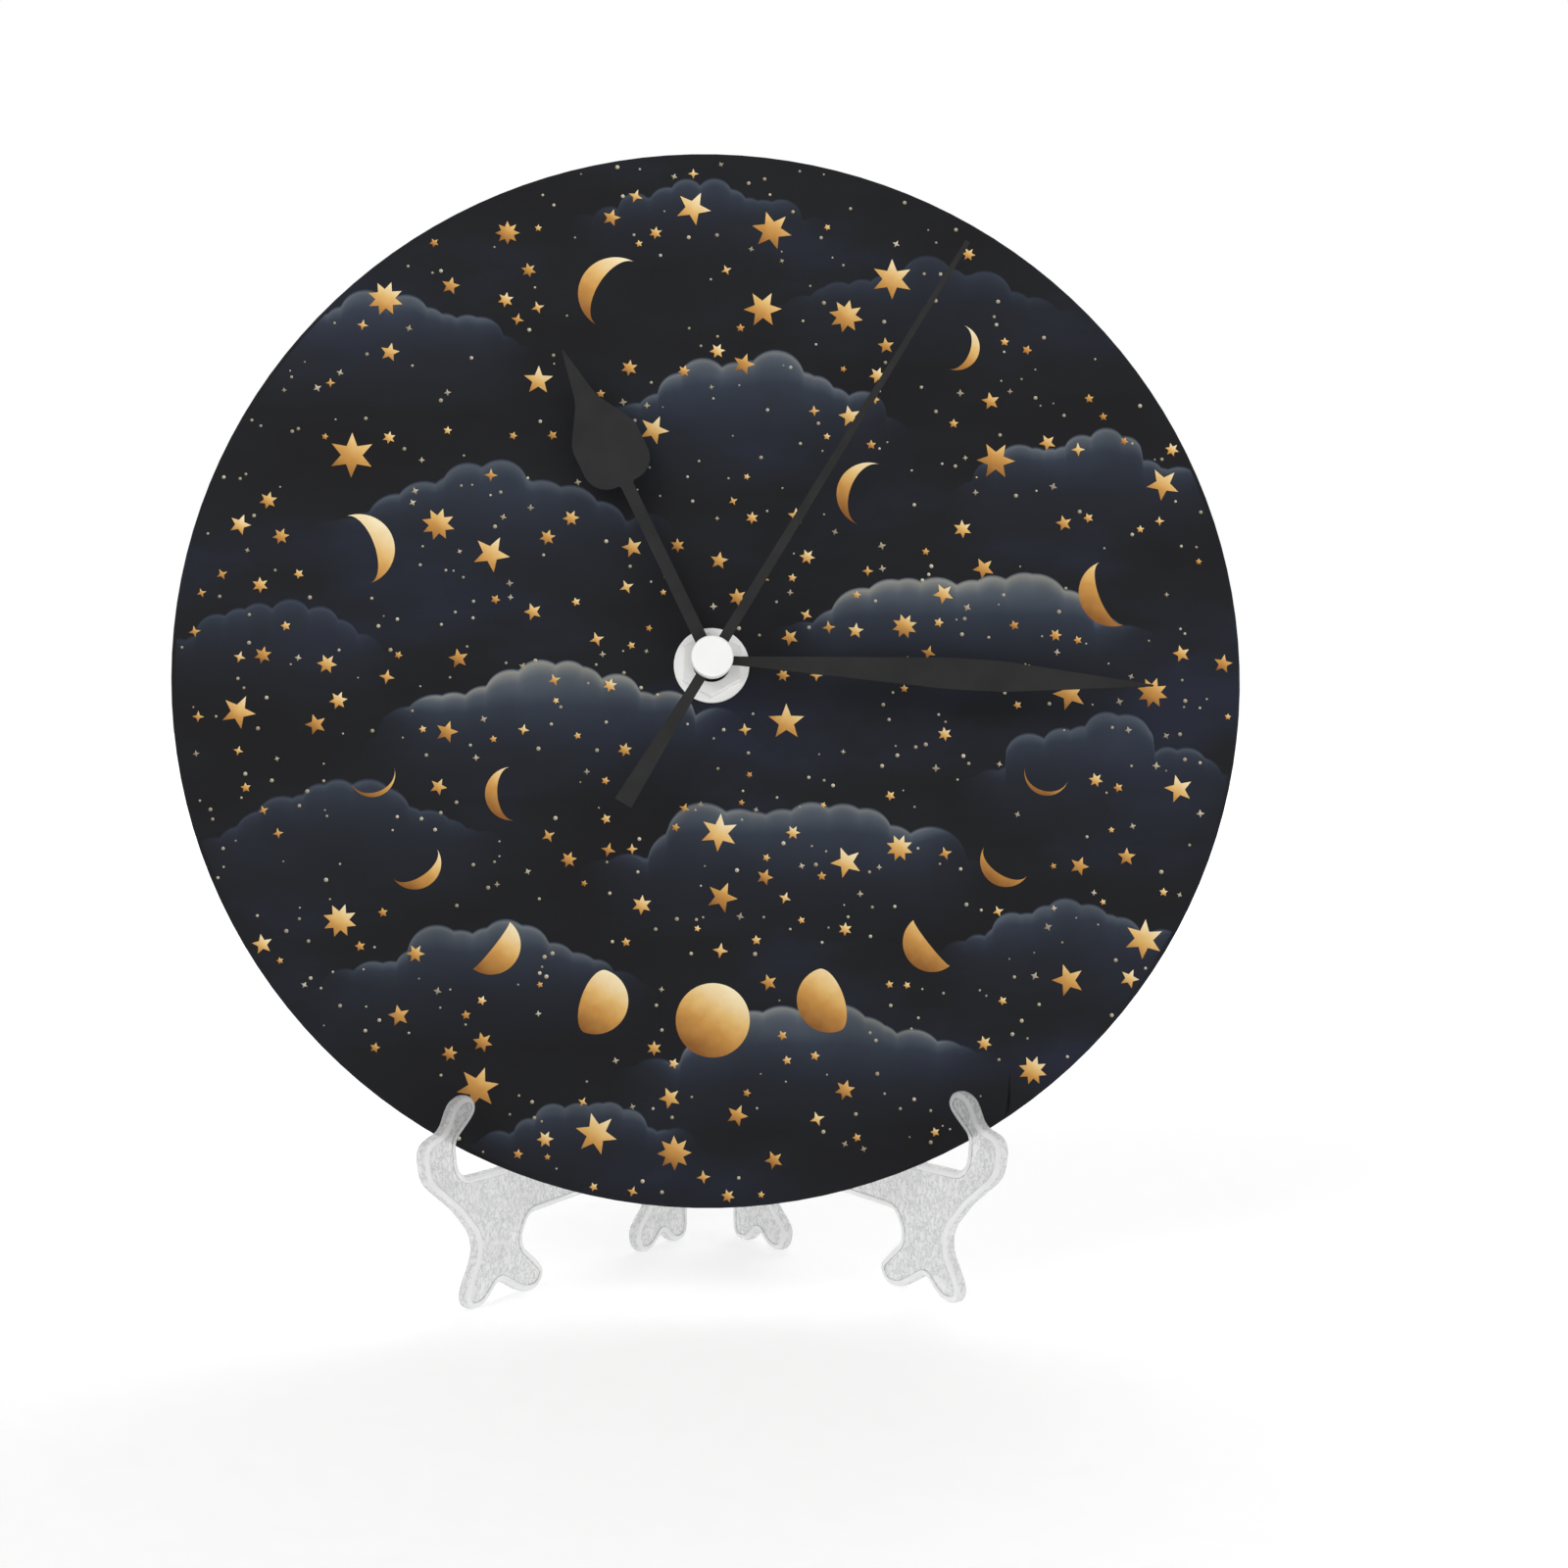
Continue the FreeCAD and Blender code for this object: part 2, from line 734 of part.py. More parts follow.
def make_battery():
    body = new_body("battery_cell")
    profile = new_sketch(body)
    barrel = f"{CELL_LENGTH} - cell_nub_height"
    nub = "cell_nub_diameter / 2"
    radius = "cell_diameter / 2"
    corners = [("0", "0"), ("0", radius), (barrel, radius), (barrel, nub), (CELL_LENGTH, nub)]
    draw_polygon(profile, corners + [(CELL_LENGTH, "0")])
    turned = body.newObject("PartDesign::Revolution", "Revolution")
    turned.Profile = profile
    turned.ReferenceAxis = (profile, ["H_Axis"])
    turned.Angle = 360
    body.Tip = turned
    left = size("contact_thickness") + size("contact_spring") - half_bay()
    piece(body, "battery_cell", on_clock(cell_level, left, -size("cell_drop")))


def half_bay():
    slack = size("contact_spring") + size("cell_gap")
    return size("case_width") / 2 - size("cell_end_room") + size("contact_thickness") + slack / 2


def make_tray():
    """A trough with a round floor and closed ends, and a flange below it that rests in
    the case's foot."""
    wall = size("tray_wall")
    half = half_bay()
    drop = -size("cell_drop")
    level = cell_level - case_rim
    lying = Rotation(Vector(0, 1, 0), 90).multiply(Rotation(Vector(0, 0, 1), 90))
    outer = "cell_diameter + 2 * (cell_gap + tray_wall)"
    inner = "cell_diameter + 2 * cell_gap"
    length = f"2 * ({BAY_HALF} + tray_wall)"
    outer_radius = size("cell_diameter") / 2 + size("cell_gap") + wall
    inner_radius = outer_radius - wall
    start = Vector(-half - wall, drop, level)
    shell = cylinder(outer, length, start, lying)
    shell.Angle = 180
    sides = box(length, outer, "cell_diameter / 2 + cell_inset - back_thickness", Vector())
    sides.Placement.Base = Vector(-half - wall, drop - outer_radius, 0)
    foot = "case_drop - case_wall - cell_drop"
    flange = box(length, foot, "tray_flange", Vector(-half - wall, 0, 0))
    flange.Placement.Base.y = -size("case_drop") + size("case_wall")
    hollow = cylinder(inner, f"2 * {BAY_HALF}", Vector(-half, drop, level), lying)
    mouth = box(f"2 * {BAY_HALF}", inner, "cell_diameter / 2 + cell_inset - back_thickness", Vector())
    mouth.Placement.Base = Vector(-half, drop - inner_radius, 0)
    tray = cut(fuse(shell, sides, flange), fuse(hollow, mouth))
    piece(tray, "battery_tray", on_clock(case_rim))


def make_contacts():
    """A flat strip for the cell's nub, and one with a coned spring for its flat end."""
    half = half_bay()
    drop = -size("cell_drop")
    width = size("contact_width")
    height = size("contact_height")
    foot = Vector(half - size("contact_thickness"), drop - width / 2, cell_level - height / 2)
    strip = box("contact_thickness", "contact_width", "contact_height", foot)
    piece(strip, "positive_contact", on_clock(0.0).multiply(strip.Placement))
    plate = box("contact_thickness", "contact_width", "contact_height", Vector(0, -width / 2, -height / 2))
    cone = document.addObject("Part::Cone", "Cone")
    bind(cone, Radius1="contact_spring_diameter / 2", Radius2="contact_tip_diameter / 2")
    bind(cone, Height="contact_spring")
    cone.Placement = Placement(Vector(size("contact_thickness"), 0, 0), Rotation(Vector(0, 1, 0), 90))
    piece(fuse(plate, cone), "negative_contact", on_clock(cell_level, -half, drop))


# What lies on the train plate.

def make_circuit():
    board = new_body("circuit_board")
    sketch = new_sketch(board)
    right = "circuit_width - circuit_left"
    draw_rectangle(sketch, "-circuit_left", "circuit_rise", right, "circuit_rise + circuit_height")
    pad(board, sketch, "circuit_thickness")
    top = plate_back - size("circuit_thickness")
    piece(board, "circuit_board", on_clock(top))
    radius = size("crystal_diameter") / 2
    can = cylinder("crystal_diameter", "crystal_length")
    place = on_clock(top - radius, -size("crystal_left"), size("crystal_rise"))
    lying = Placement(Vector(), Rotation(Vector(0, 1, 0), 90))
    piece(can, "quartz_crystal", place.multiply(lying))
    blob = document.addObject("Part::Sphere", "Sphere")
    bind(blob, Radius="chip_diameter ^ 2 / (8 * chip_height) + chip_height / 2")
    blob.Placement.Base.z = size("chip_diameter") ** 2 / (8 * size("chip_height")) - size("chip_height") / 2
    side = "chip_diameter"
    slab = box(side, side, "chip_height", Vector())
    slab.Placement.Base = Vector(-size(side) / 2, -size(side) / 2, -size("chip_height"))
    dome = document.addObject("Part::Common", "Common")
    dome.Base = blob
    dome.Tool = slab
    piece(dome, "chip_resin", on_clock(top, size("chip_right"), size("chip_rise")))


def centred_box(width, height, depth):
    """A box centred across, standing on zero, centred in depth."""
    made = box(width, height, depth, Vector())
    document.recompute()
    made.Placement.Base = Vector(-made.Length.Value / 2, 0, -made.Height.Value / 2)
    return made


def make_coil():
    """The bobbin with its winding, standing on the train plate, and the core through it."""
    level = plate_back - size("stator_level") - size("stator_thickness") - size("core_depth") / 2
    depth = "2 * (stator_level + stator_thickness) + core_depth"
    place = on_clock(level, -size("coil_distance"), size("coil_foot"))
    bore_width = "core_width + 2 * core_gap"
    bore_depth = "core_depth + 2 * core_gap"
    tube = centred_box(f"{bore_width} + 2 * bobbin_wall", "coil_length", f"{bore_depth} + 2 * bobbin_wall")
    low = centred_box("coil_width", "coil_flange", depth)
    high = centred_box("coil_width", "coil_flange", depth)
    high.Placement.Base.y = size("coil_length") - size("coil_flange")
    bore = centred_box(bore_width, "coil_length", bore_depth)
    piece(cut(fuse(tube, low, high), bore), "coil_bobbin", place)
    wound = centred_box("winding_width", "coil_length - 2 * coil_flange", "winding_depth")
    inner = centred_box(f"{bore_width} + 2 * bobbin_wall", "coil_length", f"{bore_depth} + 2 * bobbin_wall")
    wound.Placement.Base.y = size("coil_flange")
    rounded = document.addObject("Part::Fillet", "Fillet")
    rounded.Base = wound
    document.recompute()
    radius = size("winding_corner")
    along = [index for index, edge in enumerate(wound.Shape.Edges, 1) if runs_up(edge)]
    rounded.Edges = [(index, radius, radius) for index in along]
    piece(cut(rounded, inner), "coil_winding", place)
    core = centred_box("core_width", "coil_length + 2 * core_overrun", "core_depth")
    foot = core.Placement.Base - Vector(0, size("core_overrun"), 0)
    piece(core, "coil_core", place.multiply(Placement(foot, Rotation())))


def runs_up(edge):
    return edge.BoundBox.XLength + edge.BoundBox.ZLength < SMALL


def make_stator():
    """One plate: a ring about the rotor, a leg to the core's foot, and a strip past the
    coil to the core's top."""
    rotor = rotor_place()
    left = -size("coil_distance") - size("core_width") / 2
    width = size("core_overrun") - size("seat_gap")
    foot = size("coil_foot") - size("core_overrun")
    top = size("coil_foot") + size("coil_length") + size("seat_gap")
    strip = strip_middle() - size("stator_strip") / 2
    across = strip + size("stator_strip") - left
    rise = top + width - rotor[1]
    thick = size("stator_thickness")
    ring = Part.makeCylinder(size("stator_ring") / 2, thick, Vector(*rotor, 0))
    leg = Part.makeBox(rotor[0] - left, width, thick, Vector(left, foot, 0))
    side = Part.makeBox(size("stator_strip"), rise, thick, Vector(strip, rotor[1], 0))
    head = Part.makeBox(across, width, thick, Vector(left, top, 0))
    bore = Part.makeCylinder(size("stator_bore") / 2, thick, Vector(*rotor, 0))
    stator = document.addObject("Part::Feature", "Stator")
    stator.Shape = ring.fuse([leg, side, head]).cut(bore).removeSplitter()
    piece(stator, "stator", on_clock(plate_back - size("stator_level") - thick))


# The wheels.

def polar(distance, direction, start=(0.0, 0.0)):
    turn = math.radians(direction)
    return start[0] + distance * math.cos(turn), start[1] + distance * math.sin(turn)


def third_place():
    return polar(size("third_distance"), size("third_direction"))


def fifth_place():
    return polar(size("fifth_distance"), size("fifth_direction"))


def rotor_place():
    return polar(size("rotor_distance"), size("rotor_direction"), fifth_place())


def train_places():
    return [third_place(), fifth_place(), rotor_place()]


def motion_module():
    return module("motion_distance", "minute_pinion", "motion_wheel")


def motion_place():
    """Where the motion wheel meshes with both the minute pinion and the setting wheel: the
    lower corner of the triangle on the shaft and the knob."""
    knob = math.hypot(size("knob_right"), size("knob_rise"))
    near = size("motion_distance")
    far = motion_module() * (size("motion_wheel_teeth") + size("setting_wheel_teeth")) / 2
    turn = math.acos((near**2 + knob**2 - far**2) / (2 * near * knob))
    direction = math.atan2(size("knob_rise"), size("knob_right")) - turn
    return near * math.cos(direction), near * math.sin(direction)


def meshed_phase(driver, driver_phase, driver_place, mate, mate_place):
    """The mate's angle that puts one of its gaps over the driver's tooth, where driver and
    mate are numbers of teeth."""
    across = mate_place[0] - driver_place[0]
    up = mate_place[1] - driver_place[1]
    line = math.atan2(up, across)
    driver_pitch = 2 * math.pi / driver
    mate_pitch = 2 * math.pi / mate
    share = ((driver_phase - line) / driver_pitch) % 1
    return line + math.pi + mate_pitch * (0.5 - share)


def toothed_face(teeth, module, shares, phase):
    """Every tooth is the same eight-cornered outline, repeated round the pitch circle."""
    root, pitch, shoulder, tip, shoulder_rise, tip_rise, root_depth = shares
    radius = teeth * module / 2
    outline = (
        (-root, -root_depth),
        (-pitch, 0),
        (-shoulder, shoulder_rise),
        (-tip, tip_rise),
        (tip, tip_rise),
        (shoulder, shoulder_rise),
        (pitch, 0),
        (root, -root_depth),
    )
    step = 2 * math.pi / teeth
    corners = []
    for tooth in range(int(teeth)):
        for share, rise in outline:
            turn = phase + step * (tooth + share)
            reach = radius + rise * module
            corners.append(Vector(reach * math.cos(turn), reach * math.sin(turn), 0))
    return Part.Face(Part.makePolygon(corners + corners[:1]))


def toothed(teeth, module, shares, phase, level, thickness):
    """A wheel whose front is at a level, growing backwards."""
    face = toothed_face(teeth, module, shares, phase)
    face.translate(Vector(0, 0, level - thickness))
    return face.extrude(Vector(0, 0, thickness))


def rod(diameter, front, back):
    return Part.makeCylinder(diameter / 2, front - back, Vector(0, 0, back))


def wheel_piece(name, solids, place, bore=None):
    """Joins a wheel's solids and sets it on its shaft."""
    shape = solids[0].fuse(solids[1:])
    if bore:
        box_of = shape.BoundBox
        shape = shape.cut(rod(bore, box_of.ZMax + size("overrun"), box_of.ZMin - size("overrun")))
    wheel = document.addObject("Part::Feature", name)
    wheel.Shape = shape.removeSplitter()
    piece(wheel, name, on_clock(0.0, place[0], place[1]))


def module(distance, driver, driven):
    """The module that lets two toothed parts mesh, with their shafts a distance apart."""
    return 2 * size(distance) / (size(f"{driver}_teeth") + size(f"{driven}_teeth"))


def train_level(name):
    """The front of a wheel of the train. Its level counts backwards from the plate."""
    return plate_back - size(f"{name}_level")


def train_wheel(name, teeth_module, phase=0.0):
    teeth = size(f"{name}_wheel_teeth")
    thick = size("wheel_thickness")
    return toothed(teeth, teeth_module, WHEEL_TOOTH_SHARES, phase, train_level(name), thick)


def pinion_front(mate):
    return train_level(mate) + size("pinion_overhang")


def pinion_width():
    return size("wheel_thickness") + 2 * size("pinion_overhang")


def train_pinion(name, mate, teeth_module, phase=0.0):
    """A pinion that reaches past the wheel it meshes with on both sides."""
    teeth = size(f"{name}_pinion_teeth")
    return toothed(teeth, teeth_module, PINION_TOOTH_SHARES, phase, pinion_front(mate), pinion_width())


def train_arbor():
    """A thin shaft with one end in the plate and the other in the window."""
    depth = size("pivot_depth")
    return rod(size("arbor_diameter"), plate_back + depth, cover_front - depth)


def make_rotor():
    """The magnet on a small pinion, with a flange between them."""
    place = rotor_place()
    teeth_module = module("rotor_distance", "rotor_pinion", "fifth_wheel")
    phase = meshed_phase(
        size("fifth_wheel_teeth"), 0.0, fifth_place(), size("rotor_pinion_teeth"), place
    )
    front = train_level("rotor_flange")
    flange = rod(size("rotor_flange_diameter"), front, front - size("rotor_flange_thickness"))
    pinion = train_pinion("rotor", "fifth", teeth_module, phase)
    wheel_piece("rotor_pinion", [flange, pinion, train_arbor()], place)
    front = train_level("magnet")
    magnet = rod(size("magnet_diameter"), front, front - size("magnet_height"))
    wheel_piece("rotor_magnet", [magnet], place, size("arbor_diameter"))


def make_fifth():
    """Driven by the rotor, and drives the seconds wheel."""
    place = fifth_place()
    wheel = train_wheel("fifth", module("rotor_distance", "rotor_pinion", "fifth_wheel"))
    teeth = size("fifth_pinion_teeth")
    phase = meshed_phase(size("seconds_wheel_teeth"), 0.0, CENTRE, teeth, place)
    teeth_module = module("fifth_distance", "fifth_pinion", "seconds_wheel")
    pinion = train_pinion("fifth", "seconds", teeth_module, phase)
    wheel_piece("fifth_wheel", [wheel, pinion, train_arbor()], place)


def make_seconds():
    """The wheel whose long shaft carries the second hand."""
    wheel = train_wheel("seconds", module("fifth_distance", "fifth_pinion", "seconds_wheel"))
    teeth_module = module("third_distance", "seconds_pinion", "third_wheel")
    pinion = train_pinion("seconds", "third", teeth_module)
    tip = size("second_hand_height") + size("hand_thickness")
    shaft = rod(size("seconds_arbor_diameter"), tip, cover_front - size("pivot_depth"))
    wheel_piece("seconds_wheel", [wheel, pinion, shaft], CENTRE)


def make_third():
    """Takes the seconds wheel's turning down to the centre wheel's."""
    place = third_place()
    teeth = size("third_wheel_teeth")
    phase = meshed_phase(size("seconds_pinion_teeth"), 0.0, CENTRE, teeth, place)
    wheel = train_wheel("third", module("third_distance", "seconds_pinion", "third_wheel"), phase)
    teeth_module = module("third_distance", "third_pinion", "centre_wheel")
    pinion = train_pinion("third", "centre", teeth_module)
    wheel_piece("third_wheel", [wheel, pinion, train_arbor()], place)


def make_centre():
    """Turns once an hour, with its hub gripping the minute tube like a clutch."""
    teeth = size("centre_wheel_teeth")
    phase = meshed_phase(size("third_pinion_teeth"), 0.0, third_place(), teeth, CENTRE)
    wheel = train_wheel("centre", module("third_distance", "third_pinion", "centre_wheel"), phase)
    front = pinion_front("centre")
    hub = rod(size("centre_hub_diameter"), front, front - pinion_width())
    bore = size("minute_tube_diameter") + 2 * size("running_gap")
    wheel_piece("centre_wheel", [wheel, hub], CENTRE, bore)


# The motion work, in front of the plate: it takes the minute tube's turning to the hours.

def motion_phase():
    """The motion wheel's angle in mesh with the minute pinion."""
    teeth = size("minute_pinion_teeth")
    return meshed_phase(teeth, 0.0, CENTRE, size("motion_wheel_teeth"), motion_place())


def make_minute_tube():
    teeth = size("minute_pinion_teeth")
    thick = size("minute_pinion_thickness")
    pinion = toothed(teeth, motion_module(), PINION_TOOTH_SHARES, 0.0, minute_pinion_front, thick)
    front = size("minute_hand_height") + size("hand_thickness") + size("tube_proud")
    tube = rod(size("minute_tube_diameter"), front, pinion_front("centre") - pinion_width())
    bore = size("seconds_arbor_diameter") + 2 * size("running_gap")
    wheel_piece("minute_pinion", [tube, pinion], CENTRE, bore)


def make_hour_wheel():
    """The wheel on the hour tube, which turns round the minute tube."""
    teeth = size("hour_wheel_teeth")
    teeth_module = module("motion_distance", "motion_pinion", "hour_wheel")
    phase = meshed_phase(size("motion_pinion_teeth"), 0.0, motion_place(), teeth, CENTRE)
    thick = size("hour_wheel_thickness")
    wheel = toothed(teeth, teeth_module, WHEEL_TOOTH_SHARES, phase, hour_front, thick)
    front = size("hour_hand_height") + size("hand_thickness") + size("tube_proud")
    tube = rod(size("hour_tube_diameter"), front, hour_back)
    bore = size("minute_tube_diameter") + 2 * size("running_gap")
    wheel_piece("hour_wheel", [tube, wheel], CENTRE, bore)


def make_motion_wheel():
    """Wheel and pinion on one arbor, between the case's floor and the plate."""
    teeth = size("motion_wheel_teeth")
    thick = size("wheel_thickness")
    wheel = toothed(teeth, motion_module(), WHEEL_TOOTH_SHARES, motion_phase(), motion_front, thick)
    teeth = size("motion_pinion_teeth")
    teeth_module = module("motion_distance", "motion_pinion", "hour_wheel")
    width = hour_front - motion_front
    pinion = toothed(teeth, teeth_module, PINION_TOOTH_SHARES, 0.0, hour_front, width)
    depth = size("pivot_depth")
    front = floor_back + depth - size("running_gap")
    arbor = rod(size("arbor_diameter"), front, plate_front - depth)
    wheel_piece("motion_wheel", [wheel, pinion, arbor], motion_place())


def make_setting_wheel():
    """Meshes with the motion wheel, on the knob's arbor."""
    place = (size("knob_right"), size("knob_rise"))
    teeth = size("setting_wheel_teeth")
    driver = size("motion_wheel_teeth")
    phase = meshed_phase(driver, motion_phase(), motion_place(), teeth, place)
    thick = size("wheel_thickness")
    wheel = toothed(teeth, motion_module(), WHEEL_TOOTH_SHARES, phase, motion_front, thick)
    front = floor_back + size("pivot_depth") - size("running_gap")
    arbor = rod(size("setting_arbor_diameter"), front, case_rim - size("knob_gap"))
    wheel_piece("setting_wheel", [wheel, arbor], place)


def make_knob():
    """The black time-setting disc behind the window, with a coin slot."""
    body = new_body("setting_knob")
    disc = new_sketch(body)
    draw_circle(disc, "knob_diameter")
    pad(body, disc, "knob_thickness")
    slot = new_sketch(body)
    half = "knob_slot_width / 2"
    draw_rectangle(slot, "-knob_diameter", f"-{half}", "knob_diameter", half)
    pocket(body, slot, "knob_slot_depth")
    front = case_rim - size("knob_gap")
    place = on_clock(front - size("knob_thickness"), size("knob_right"), size("knob_rise"))
    piece(body, "setting_knob", place)


# Hands. Each is an outline along Y, turned clockwise from twelve, with a boss behind it.

def hand_outline(half_points, length, root):
    """Corners from the root round to the root. The half points run up the right side to
    the tip, and their mirror image runs down the left."""
    right = [(across * length, along * length, radius * length) for across, along, radius in half_points]
    left = [(-across, along, radius) for across, along, radius in reversed(right)]
    return root + right + left


def square_root(half_points, length):
    """The straight end of a hand that starts at the shaft, as wide as its stem."""
    stem = half_points[0][0] * length
    return [(-stem, 0.0, 0.0), (stem, 0.0, 0.0)]


def make_hand(name, half_points, root, boss_height, bore):
    """A flat blade with a boss behind it and a hole for its tube or shaft."""
    thick = size("hand_thickness")
    corners = hand_outline(half_points, size(f"{name}_hand_length"), root)
    blade = Part.Face(rounded_outline(corners)).extrude(Vector(0, 0, thick))
    radius = size(f"{name}_boss_diameter") / 2
    hub = Part.makeCylinder(radius, boss_height, Vector(0, 0, thick - boss_height))
    hole = Part.makeCylinder(size(bore) / 2, 2 * boss_height, Vector(0, 0, -boss_height))
    hand = document.addObject("Part::Feature", f"{name}_hand")
    hand.Shape = blade.fuse(hub).cut(hole).removeSplitter()
    place = on_clock(size(f"{name}_hand_height"), turn=-size(f"{name}_hand_angle"))
    piece(hand, f"{name}_hand", place)


def make_hour_and_minute_hands():
    root = square_root(HOUR_HAND_SHARES, size("hour_hand_length"))
    make_hand("hour", HOUR_HAND_SHARES, root, size("hour_boss_height"), "hour_tube_diameter")
    root = square_root(MINUTE_HAND_SHARES, size("minute_hand_length"))
    make_hand("minute", MINUTE_HAND_SHARES, root, size("minute_boss_height"), "minute_tube_diameter")


def make_second_hand():
    """The thin hand has a tail on the far side of the shaft, which widens to its end."""
    length = size("second_hand_length")
    wide, narrow, bend, radius = (share * length for share in SECOND_TAIL_SHARES)
    tail = -size("second_hand_tail")
    root = [(-narrow, -bend, radius), (-wide, tail, 0.0), (wide, tail, 0.0), (narrow, -bend, radius)]
    make_hand("second", SECOND_HAND_SHARES, root, size("hand_thickness"), "seconds_arbor_diameter")


def make_cap():
    body = new_body("hand_cap")
    sketch = new_sketch(body)
    draw_circle(sketch, "cap_diameter")
    disc = pad(body, sketch, "cap_height")
    rim = edges_where(disc, flat_at(size("cap_height")))
    dress(body, "PartDesign::Fillet", disc, rim, Radius="cap_round")
    piece(body, "hand_cap", on_clock(size("second_hand_height") + size("hand_thickness")))


# The easel.

def make_spine():
    """Two hinge rods joined by a bar at the foot and a bar at the top."""
    base = size("spine_base")
    top = size("wing_height")
    height = "wing_height - spine_base"
    bars = (("lower_bar_height", base), ("upper_bar_height", top - size("upper_bar_height")))
    members = []
    for side in (-hinge_half, hinge_half):
        members.append(cylinder("rod_diameter", height, Vector(side, 0, base)))
        for bar, level in bars:
            members.append(cylinder("bar_end_diameter", bar, Vector(side, 0, level)))
    for bar, level in bars:
        corner = Vector(-hinge_half, -size("spine_thickness") / 2, level)
        members.append(box("hinge_spacing", "spine_thickness", bar, corner))
    piece(fuse(*members), "easel_spine", Placement())


def wing_corners():
    """The wing's outline, clockwise from the upright's top: distance from the hinge,
    height above the ground and corner radius."""
    notch = size("notch_height")
    height = size("wing_height")
    width = size("upright_top_width")
    seat = notch + size("seat_gap")
    middle = along_wing((face_setback(seat) + disc_back_setback(seat)) / 2)
    hump, hump_radius, foot_radius = (share * notch for share in HUMP_SHARES)
    side = (size("wing_thickness") / 2 * math.sin(splay) + size("seat_gap")) / math.cos(splay)
    hump_end = along_wing(disc_back_setback(hump)) - side
    start = size("upright_start")
    corners = [(start, height, size("upright_back_corner")), (width, height, size("upright_corner"))]
    bend, bend_height, bend_radius = UPRIGHT_BEND_SHARES
    corners.append((bend * width, bend_height * height, bend_radius * height))
    for along, rise, radius in SWEEP_SHARES:
        reach = height - notch
        corners.append((along * middle, notch + rise * reach, radius * reach))
    corners.append((hump_end, hump, hump_radius))
    corners.append((hump_end, notch, foot_radius))
    for along, rise, radius in FRONT_SHARES:
        corners.append((middle + along * notch, rise * notch, radius * notch))
    for along, rise, radius in REAR_SHARES:
        corners.append((along * notch, rise * notch, radius * notch))
    heel = size("heel_start")
    heel_top = size("spine_base") - size("knuckle_gap")
    corners.append((heel, 0.0, HEEL_RADIUS_SHARE * notch))
    corners.append((heel, heel_top, size("heel_corner")))
    corners.append((start, heel_top, size("heel_corner")))
    return corners


def extruded(flat, direction, length):
    """A flat shape given a thickness, forwards for 1 and backwards for -1."""
    made = document.addObject("Part::Extrusion", "Extrusion")
    made.Base = flat
    made.Dir = Vector(0, 0, direction)
    made.DirMode = "Custom"
    made.Solid = True
    return bind(made, LengthFwd=length)


def wing_plate(name):
    """The flat plate with a shallow panel sunk in each side."""
    profile = document.addObject("Part::Feature", f"{name}_outline")
    profile.Shape = Part.Face(rounded_outline(wing_corners()))
    plate = extruded(profile, 1, "wing_thickness")
    plate.Symmetric = True
    inner = document.addObject("Part::Feature", f"{name}_panel")
    inner.Shape = profile.Shape.makeOffset2D(-size("panel_inset"), 0, False, False, False)
    panels = []
    for face in (-1, 1):
        panel = extruded(inner, face, "panel_depth + overrun")
        panel.Placement.Base.z = face * (size("wing_thickness") / 2 - size("panel_depth"))
        panels.append(panel)
    return cut(plate, fuse(*panels))


def make_wing(name, side):
    """One wing: the plate, and two knuckles that turn on a rod of the spine."""
    lying = Rotation(Vector(1, 0, 0), -90)
    knuckles = []
    bores = []
    for level in knuckle_levels():
        foot = Vector(0, level, 0)
        knuckles.append(cylinder("knuckle_diameter", "knuckle_length", foot, lying))
        low = Vector(0, level - size("overrun"), 0)
        bore = "rod_diameter + 2 * running_gap"
        bores.append(cylinder(bore, "knuckle_length + 2 * overrun", low, lying))
    wing = cut(fuse(wing_plate(name), *knuckles), fuse(*bores))
    along = Vector(side * math.sin(splay), -math.cos(splay), 0)
    up = Vector(0, 0, 1)
    turn = Rotation(along, up, along.cross(up), "XYZ")
    piece(wing, name, Placement(Vector(side * hinge_half, 0, 0), turn))


def knuckle_levels():
    """One knuckle rests just above the lower bar, the other stands just below the upper."""
    low = size("spine_base") + size("lower_bar_height") + size("knuckle_gap")
    top = size("wing_height") - size("upper_bar_height") - size("knuckle_gap")
    return [low, top - size("knuckle_length")]


def check(thing, name):
    states = thing.State
    if "Invalid" in states or "Error" in states:
        raise RuntimeError(f"{name} is {states}")
    if thing.TypeId == "PartDesign::Pocket" and thing.Shape.Volume >= thing.BaseFeature.Shape.Volume:
        raise RuntimeError(f"{name} cuts nothing")


def finish():
    """Checks every object, sets the origin under the middle and writes the pieces."""
    document.recompute()
    for thing in document.Objects:
        check(thing, thing.Name)
    whole = FreeCAD.BoundBox()
    for thing, name, placement in pieces:
        thing.Placement = placement
        whole.add(Part.getShape(thing).optimalBoundingBox(False))
    centre = Vector((whole.XMin + whole.XMax) / 2, (whole.YMin + whole.YMax) / 2, whole.ZMin)
    print(f"origin is {centre.x:.4f} {centre.y:.4f} {centre.z:.4f} from the hinge line's foot")
    os.makedirs("parts", exist_ok=True)
    for thing, name, placement in pieces:
        thing.Placement = Placement(-centre, Rotation()).multiply(placement)
    document.recompute()
    for thing, name, placement in pieces:
        check(thing, name)
        if thing.Shape.isNull() or not thing.Shape.isValid():
            raise RuntimeError(f"{name} has no valid shape")
        thing.Shape.exportStep(f"parts/{name}.step")
        print(f"{name}: {len(thing.Shape.Solids)} solid, {thing.Shape.Volume:.2f} cubic mm")


